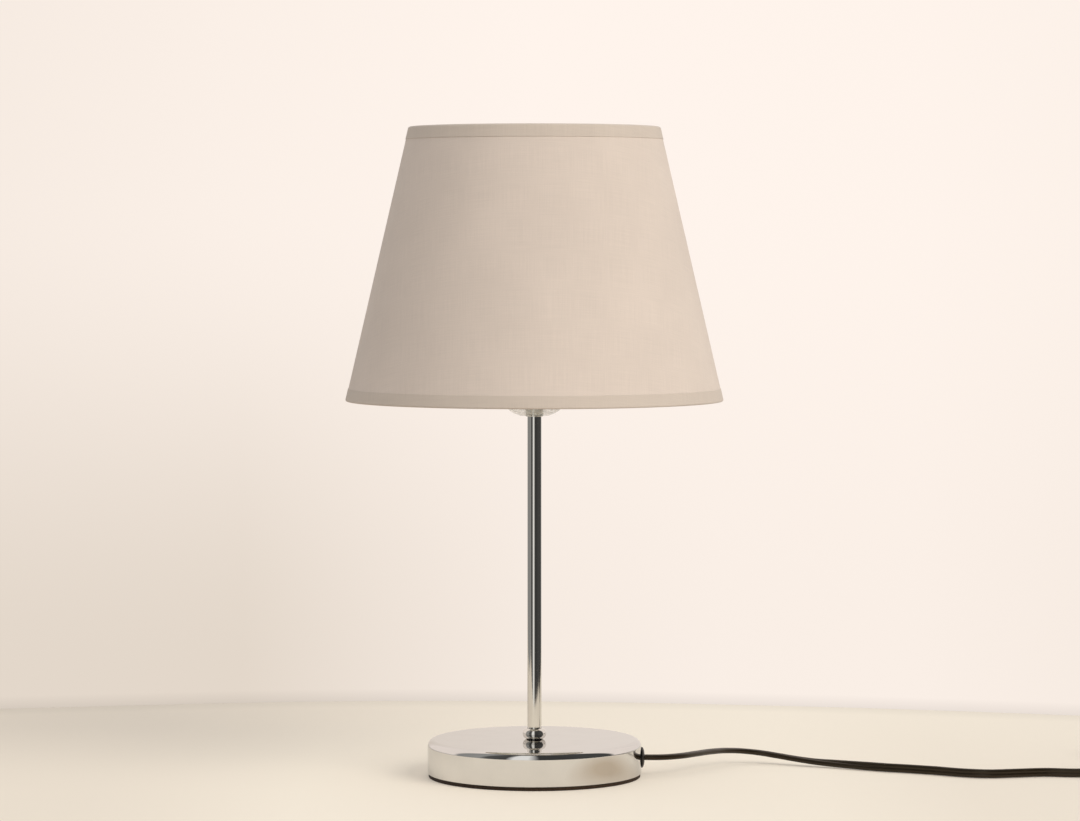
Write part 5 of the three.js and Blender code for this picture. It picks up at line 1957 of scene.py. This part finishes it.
@dataclass
class RockerSwitch:
    """The two shells of the cord switch, their screws, and the dished rocker."""

    base: Extent = node("switch_base")
    cover: Extent = node("switch_cover")
    wall: float = 1.9
    corner: float = 8.0
    foot_inset: float = 1.2  # how far the underside's edge slopes
    crown_inset: float = 1.8  # how far the top's edge slopes
    crown_height: float = 1.6
    window: tuple[float, float] = (21.2, 11.6)
    window_corner: float = 1.2
    cord_level: float = 6.4
    cord_slot: tuple[float, float] = (3.6, 5.4)
    rocker_size: tuple[float, float] = (18.8, 10.8)
    rocker_steps: int = 14
    rocker_dish: float = 1.3
    rocker_end: float = 0.6  # width of the flat at either end of its face
    rocker_foot: tuple[float, float] = (4.5, -1.9)
    rocker_edge: float = 25.0  # degrees past which an edge of the rocker is eased
    pivot: float = 13.2
    tilt: float = 8.0
    screws: tuple[tuple[float, float], ...] = ((-20.0, 7.0), (20.0, -7.0))
    screw_hole: tuple[float, float] = (2.5, 1.9)  # radius and depth
    screw_size: tuple[float, float, float] = (2.2, 1.7, 1.2)  # head, its height, and thread
    wire: float = 1.5
    through: tuple[Point, ...] = (
        (-16.7, 0.95, 6.4), (-13.7, 2.2, 5.8), (-8, 4.4, 4.6), (0, 4.8, 4.4), (8, 4.4, 4.6), (13.7, 2.2, 5.8),
        (16.7, 0.95, 6.4),
    )
    kept: tuple[str, ...] = ("rocker_pin", "contact_arm", "contact_out", "contact_in")

    @property
    def home(self) -> Matrix:
        """What puts a shape made round the origin in the switch's place."""
        return shift(self.base.centre.x, self.base.centre.y, 0)

    @property
    def length(self) -> float:
        """The shells' length."""
        return self.base.high.x - self.base.low.x

    @property
    def width(self) -> float:
        """The shells' width."""
        return self.base.high.y - self.base.low.y

    def build(self) -> list[Object]:
        """Makes the switch.

        Returns:
            Its pieces, for the cord that runs into it, with the CAD's own pieces inside it.
        """
        return [
            self.mould_base(), self.mould_cover(), self.mould_rocker(), *self.fit_screws(), self.bend_wire(),
            *(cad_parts[name] for name in self.kept),
        ]

    def ring(self, level: float, inset: float, ease: float = 0.0) -> Ring:
        """The shells' outline at a level.

        Args:
            level: The level.
            inset: How far it lies inside the widest one.
            ease: How far its own edge is rounded.

        Returns:
            The outline.
        """
        return Ring(level, self.length - 2 * inset, self.width - 2 * inset, self.corner - inset, ease)

    def shelled(self, rings: Sequence[Ring], joined: bool, *cuts: BMesh) -> BMesh:
        """Moulds one shell, with the cord's opening at both ends.

        Args:
            rings: Its outlines.
            joined: Whether there is a hole through it.
            cuts: What else is cut from it.

        Returns:
            The shell, in its place.
        """
        across, up = (size / 2 for size in self.cord_slot)
        level = self.cord_level
        slot = block((-self.length, -across, level - up), (self.length, across, level + up))
        return moved(carved(lofted(rings, joined), slot, *cuts), self.home)

    def mould_base(self) -> Object:
        """Moulds the lower shell, open at the top.

        Returns:
            The piece.
        """
        top = self.base.top
        rings = [
            self.ring(0, self.foot_inset), self.ring(self.foot_inset, 0, 0.7), self.ring(top, 0, 0.25),
            self.ring(top - LIP, self.wall), self.ring(self.wall, self.wall),
        ]
        radius, depth = self.screw_hole
        holes = [moved(pipe(0, radius, -1, depth), shift(x, y, 0)) for x, y in self.screws]
        bm = self.shelled(rings, False, *holes)
        return settle(bm, "lower_shell", ["switch_base"], BLACK_PLASTIC)

    def mould_cover(self) -> Object:
        """Moulds the upper shell with the rocker's window.

        Returns:
            The piece.
        """
        bottom, top = self.cover.bottom, self.cover.top
        rings = [
            self.ring(bottom, 0, 0.25), self.ring(top - self.crown_height, 0, 0.9),
            self.ring(top, self.crown_inset, 0.9), Ring(top - LIP, *self.window, self.window_corner, 0.4),
            Ring(top - self.wall, *self.window, self.window_corner),
            self.ring(top - self.wall - LIP, self.wall), self.ring(bottom + LIP, self.wall),
        ]
        bm = self.shelled(rings, True)
        return settle(bm, "upper_shell", ["switch_cover"], BLACK_PLASTIC)

    def mould_rocker(self) -> Object:
        """Moulds the rocker with its dished face, and tips it to its rest.

        Returns:
            The piece.
        """
        length, width = self.rocker_size
        end, dish, steps = length / 2, self.rocker_dish, self.rocker_steps
        inner = end - self.rocker_end
        crest = self.cover.top - self.pivot + end * math.tan(math.radians(self.tilt))
        across = [2 * inner * step / steps - inner for step in range(steps + 1)]
        face = [(x, crest - dish + dish * (x / inner) ** 2) for x in across]
        foot, depth = self.rocker_foot
        bm = bmesh.new()
        chain(bm, [
            *face, (end, crest - 0.9), (inner, 2.0), (foot, depth), (-foot, depth), (-inner, 2.0),
            (-end, crest - 0.9),
        ], True, 1)
        side = bmesh.ops.contextual_create(bm, geom=bm.edges[:])["faces"]
        grown = bmesh.ops.extrude_face_region(bm, geom=side, use_keep_orig=True)["geom"]
        bmesh.ops.translate(bm, vec=(0, width, 0), verts=corners(grown))
        bmesh.ops.recalc_face_normals(bm, faces=bm.faces[:])
        limit = math.radians(self.rocker_edge)
        eased(bm, [edge for edge in bm.edges if edge.calc_face_angle(0.0) > limit], 0.35, 3, "EDGES")
        moved(bm, shift(0, -width / 2, 0), turn(-self.tilt, "Y"), shift(0, 0, self.pivot), self.home)
        return settle(bm, "dished_rocker", ["switch_rocker"], GLOSS_BLACK, body=Body.ROCKER)

    def fit_screws(self) -> list[Object]:
        """Drives the two screws from below.

        Returns:
            The screws.
        """
        made = []
        for index, (x, y) in enumerate(self.screws, 1):
            screw = Extent.of(f"switch_screw_{index}")
            bm = cross_screw(*self.screw_size, screw.height)
            moved(bm, turn(20 * index, "Z"), shift(x, y, screw.bottom), self.home)
            made.append(settle(bm, f"shell_screw_{index}", [f"switch_screw_{index}"], ZINC))
        return made

    def bend_wire(self) -> Object:
        """Bends the neutral wire that passes the contacts by.

        Returns:
            The piece.
        """
        bm = swept(smooth_route(self.through, 6), Section.ROUND, self.wire, self.wire, upright=False)
        moved(bm, self.home)
        return settle(bm, "through_wire", ["neutral_wire"], NEUTRAL, sharp=60)


@dataclass
class Plug:
    """The slim moulded plug with its ribbed strain relief and two half-sleeved pins, and the coil's tie."""

    body: Extent = node("plug_body")
    tie: Extent = node("cord_tie")
    # Its body from the pins back: place, how much thinner, share of the width, corner and ease
    waist: tuple[Corner, ...] = (
        (19.0, 0.2, 0.83, 3.8, 1.0), (25.0, 0.6, 0.62, 3.8, 0.0), (30.0, 1.2, 0.46, 3.8, 0.0),
    )
    length: float = 36.0
    straight: float = 13.0
    neck: float = 11.0
    relief_root: float = 4.6
    relief_end: float = 3.4
    relief_ribs: int = 6
    relief_groove: float = 0.8
    pin_radius: float = 2.0
    pin_length: float = 19.0
    pin_inside: float = 8.0
    pin_nose: float = 1.3
    sleeve: float = 10.0
    sleeve_step: float = 0.15  # how much thinner the pin is inside its sleeve
    spacing: float = 18.6
    tip_spacing: float = 17.5
    tie_wall: float = 0.6
    tie_corner: float = 2.6
    tie_lap: float = 3.0  # how far its lap stays from the middle, and from the end

    @property
    def home(self) -> Matrix:
        """What puts a shape made at the origin at the plug's face."""
        return shift(self.body.low.x, self.body.centre.y, self.body.centre.z)

    def build(self) -> list[Object]:
        """Makes the plug and the tie.

        Returns:
            The pieces, for the cord that runs into them.
        """
        return [self.mould_body(), *self.fit_pins(), self.close_tie()]

    def relief(self) -> BMesh:
        """Turns the strain relief with its grooves.

        Returns:
            The relief, upright.
        """
        end, root = self.body.high.x - self.body.low.x, self.relief_root
        line: list[Corner] = [(0, self.length - 2), (root, self.length - 2)]
        step = (end - self.length) / self.relief_ribs
        for index in range(self.relief_ribs):
            radius = root + (self.relief_end - root) * index / self.relief_ribs
            start = self.length + index * step
            line += [
                (radius, start + 0.3, 0.25), (radius - 0.12, start + 0.62 * step, 0.25),
                (radius - self.relief_groove + 0.05, start + 0.7 * step, 0.15),
                (radius - self.relief_groove, start + 0.93 * step, 0.15),
            ]
        line += [(self.relief_end - 0.2, end - 0.1, 0.3), (1.6, end), (0, end)]
        return turned(line, 48, 2)

    def mould_body(self) -> Object:
        """Moulds the flat body, which narrows to the relief.

        Returns:
            The piece.
        """
        width, thick = self.body.high.y - self.body.low.y, self.body.height
        rings = [
            Ring(0, thick - 2.4, width - 3.0, 2.8), Ring(1.2, thick, width, 3.6, 0.8),
            Ring(self.straight, thick, width, 3.6, 1.5),
            *(Ring(place, thick - less, width * share, *rest) for place, less, share, *rest in self.waist),
            Ring(self.length - 3, thick - 1.8, self.neck + 1.6, 3.8),
            Ring(self.length, thick - 3.0, self.neck - 0.4, 3.6, 0.6),
        ]
        bm = moved(together(lofted(rings), self.relief()), turn(90, "Y"), self.home)
        return settle(bm, "slim_plug", ["plug_body"], BLACK_PLASTIC)

    def fit_pins(self) -> list[Object]:
        """Fits the two pins, sleeved for half their length and leaning together.

        Returns:
            The pins.
        """
        lean = math.degrees(math.atan((self.spacing - self.tip_spacing) / 2 / self.pin_length))
        radius, inner = self.pin_radius, self.pin_radius - self.sleeve_step
        start = self.body.low.x - self.sleeve

        def side(middle: Vector, _normal: Vector) -> int:
            """Bare metal at the tip, black sleeve behind it."""
            return 1 if middle.x > start + 0.1 else 0

        made = []
        for index, hand in enumerate((-1, 1), 1):
            bm = turned([
                (0, -self.pin_length), (radius, -self.pin_length, self.pin_nose),
                (radius, -self.sleeve, 0.05), (inner, -self.sleeve + 0.1), (inner, self.pin_inside),
                (0, self.pin_inside),
            ], 32)
            moved(bm, turn(90, "Y"), turn(-hand * lean, "Z"), shift(0, hand * self.spacing / 2, 0), self.home)
            name, replaced = f"sleeved_pin_{index}", f"plug_pin_{index}"
            made.append(settle(bm, name, [replaced], BRASS, BLACK_PLASTIC, choose=side))
        return made

    def close_tie(self) -> Object:
        """Closes the band round the coil, one end lapped over the other.

        Returns:
            The piece.
        """
        length, width, height = self.tie.high - self.tie.low
        half, wall = width / 2, self.tie_wall
        band = (length, height, self.tie_corner, 0.15)
        bore = (length - 2 * wall, height - 2 * wall, self.tie_corner - wall)
        bm = lofted([
            Ring(-half, *band), Ring(half, *band), Ring(half - LIP, *bore), Ring(LIP - half, *bore),
        ], joined=True)
        moved(bm, turn(90, "X"))
        reach, top = self.tie_lap, height / 2
        lap = block((-reach, -half, top - 0.1), (length / 2 - reach, half, top + 0.45), 0.2)
        whole = moved(together(bm, lap), shift(*self.tie.centre))
        return settle(whole, "hook_tie", ["cord_tie"], BLACK_PLASTIC)


# Pieces that keep their CAD shape


@dataclass
class HiddenWork:
    """The pieces inside the lamp that keep their CAD shape, and the two small wires that are drawn afresh."""

    kept: tuple[tuple[str, Finish], ...] = (
        ("base_weight", CASTING), ("base_plate", BOARD), ("stem_lock_washer", ZINC), ("stem_nut", ZINC),
        ("holder_core", CERAMIC), ("terminal_live", BRASS), ("terminal_neutral", BRASS),
        ("terminal_screw_live", ZINC), ("terminal_screw_neutral", ZINC), ("centre_contact", BRONZE),
        ("side_contact", BRONZE), ("rocker_pin", ZINC), ("contact_arm", BRONZE), ("contact_out", BRASS),
        ("contact_in", BRASS),
    )
    wire: float = 1.5
    wire_route: tuple[Point, ...] = (  # from the cord's end out to a terminal
        (0.95, 0, 212.9), (1.1, 0, 214.0), (2.1, 0, 215.8), (3.5, 0, 216.2), (5.8, 0, 216.2),
    )

    def build(self) -> None:
        """Finishes the kept nodes and draws the wires."""
        for name, finish in self.kept:
            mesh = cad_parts[name].data
            mesh.materials.clear()
            mesh.materials.append(finish.material())
        for side, name, finish in ((1, "live", LIVE), (-1, "neutral", NEUTRAL)):
            route = smooth_route([(side * x, y, z) for x, y, z in self.wire_route], 6)
            bm = swept(route, Section.ROUND, self.wire, self.wire, upright=False)
            settle(bm, f"{name}_tail", [f"lead_{name}"], finish, sharp=60)


def write_sizes(cad: tuple[Vector, Vector]) -> None:
    """Logs the CAD part's box and the dressed lamp's box, in metres.

    Args:
        cad: The box straight after the frame was loaded.
    """
    sizes = {"cad": [list(corner) for corner in cad], "visual": [list(corner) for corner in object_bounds()]}
    for name, (low, high) in sizes.items():
        log.info("%s box %s to %s", name, [round(v, 4) for v in low], [round(v, 4) for v in high])


def main() -> None:
    """Builds the scene, camera and cords first."""
    logging.basicConfig(level=logging.INFO, format="%(name)s: %(message)s")
    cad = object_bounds()
    Studio().build()
    cord = MainsCord()
    cord.build(RockerSwitch().build(), Plug().build())
    cord.build_inside()
    Base().build()
    Stem().build()
    Lampholder().build()
    Bulb().build()
    Shade().build()
    HiddenWork().build()
    write_sizes(cad)


if __name__ == "__main__":
    main()
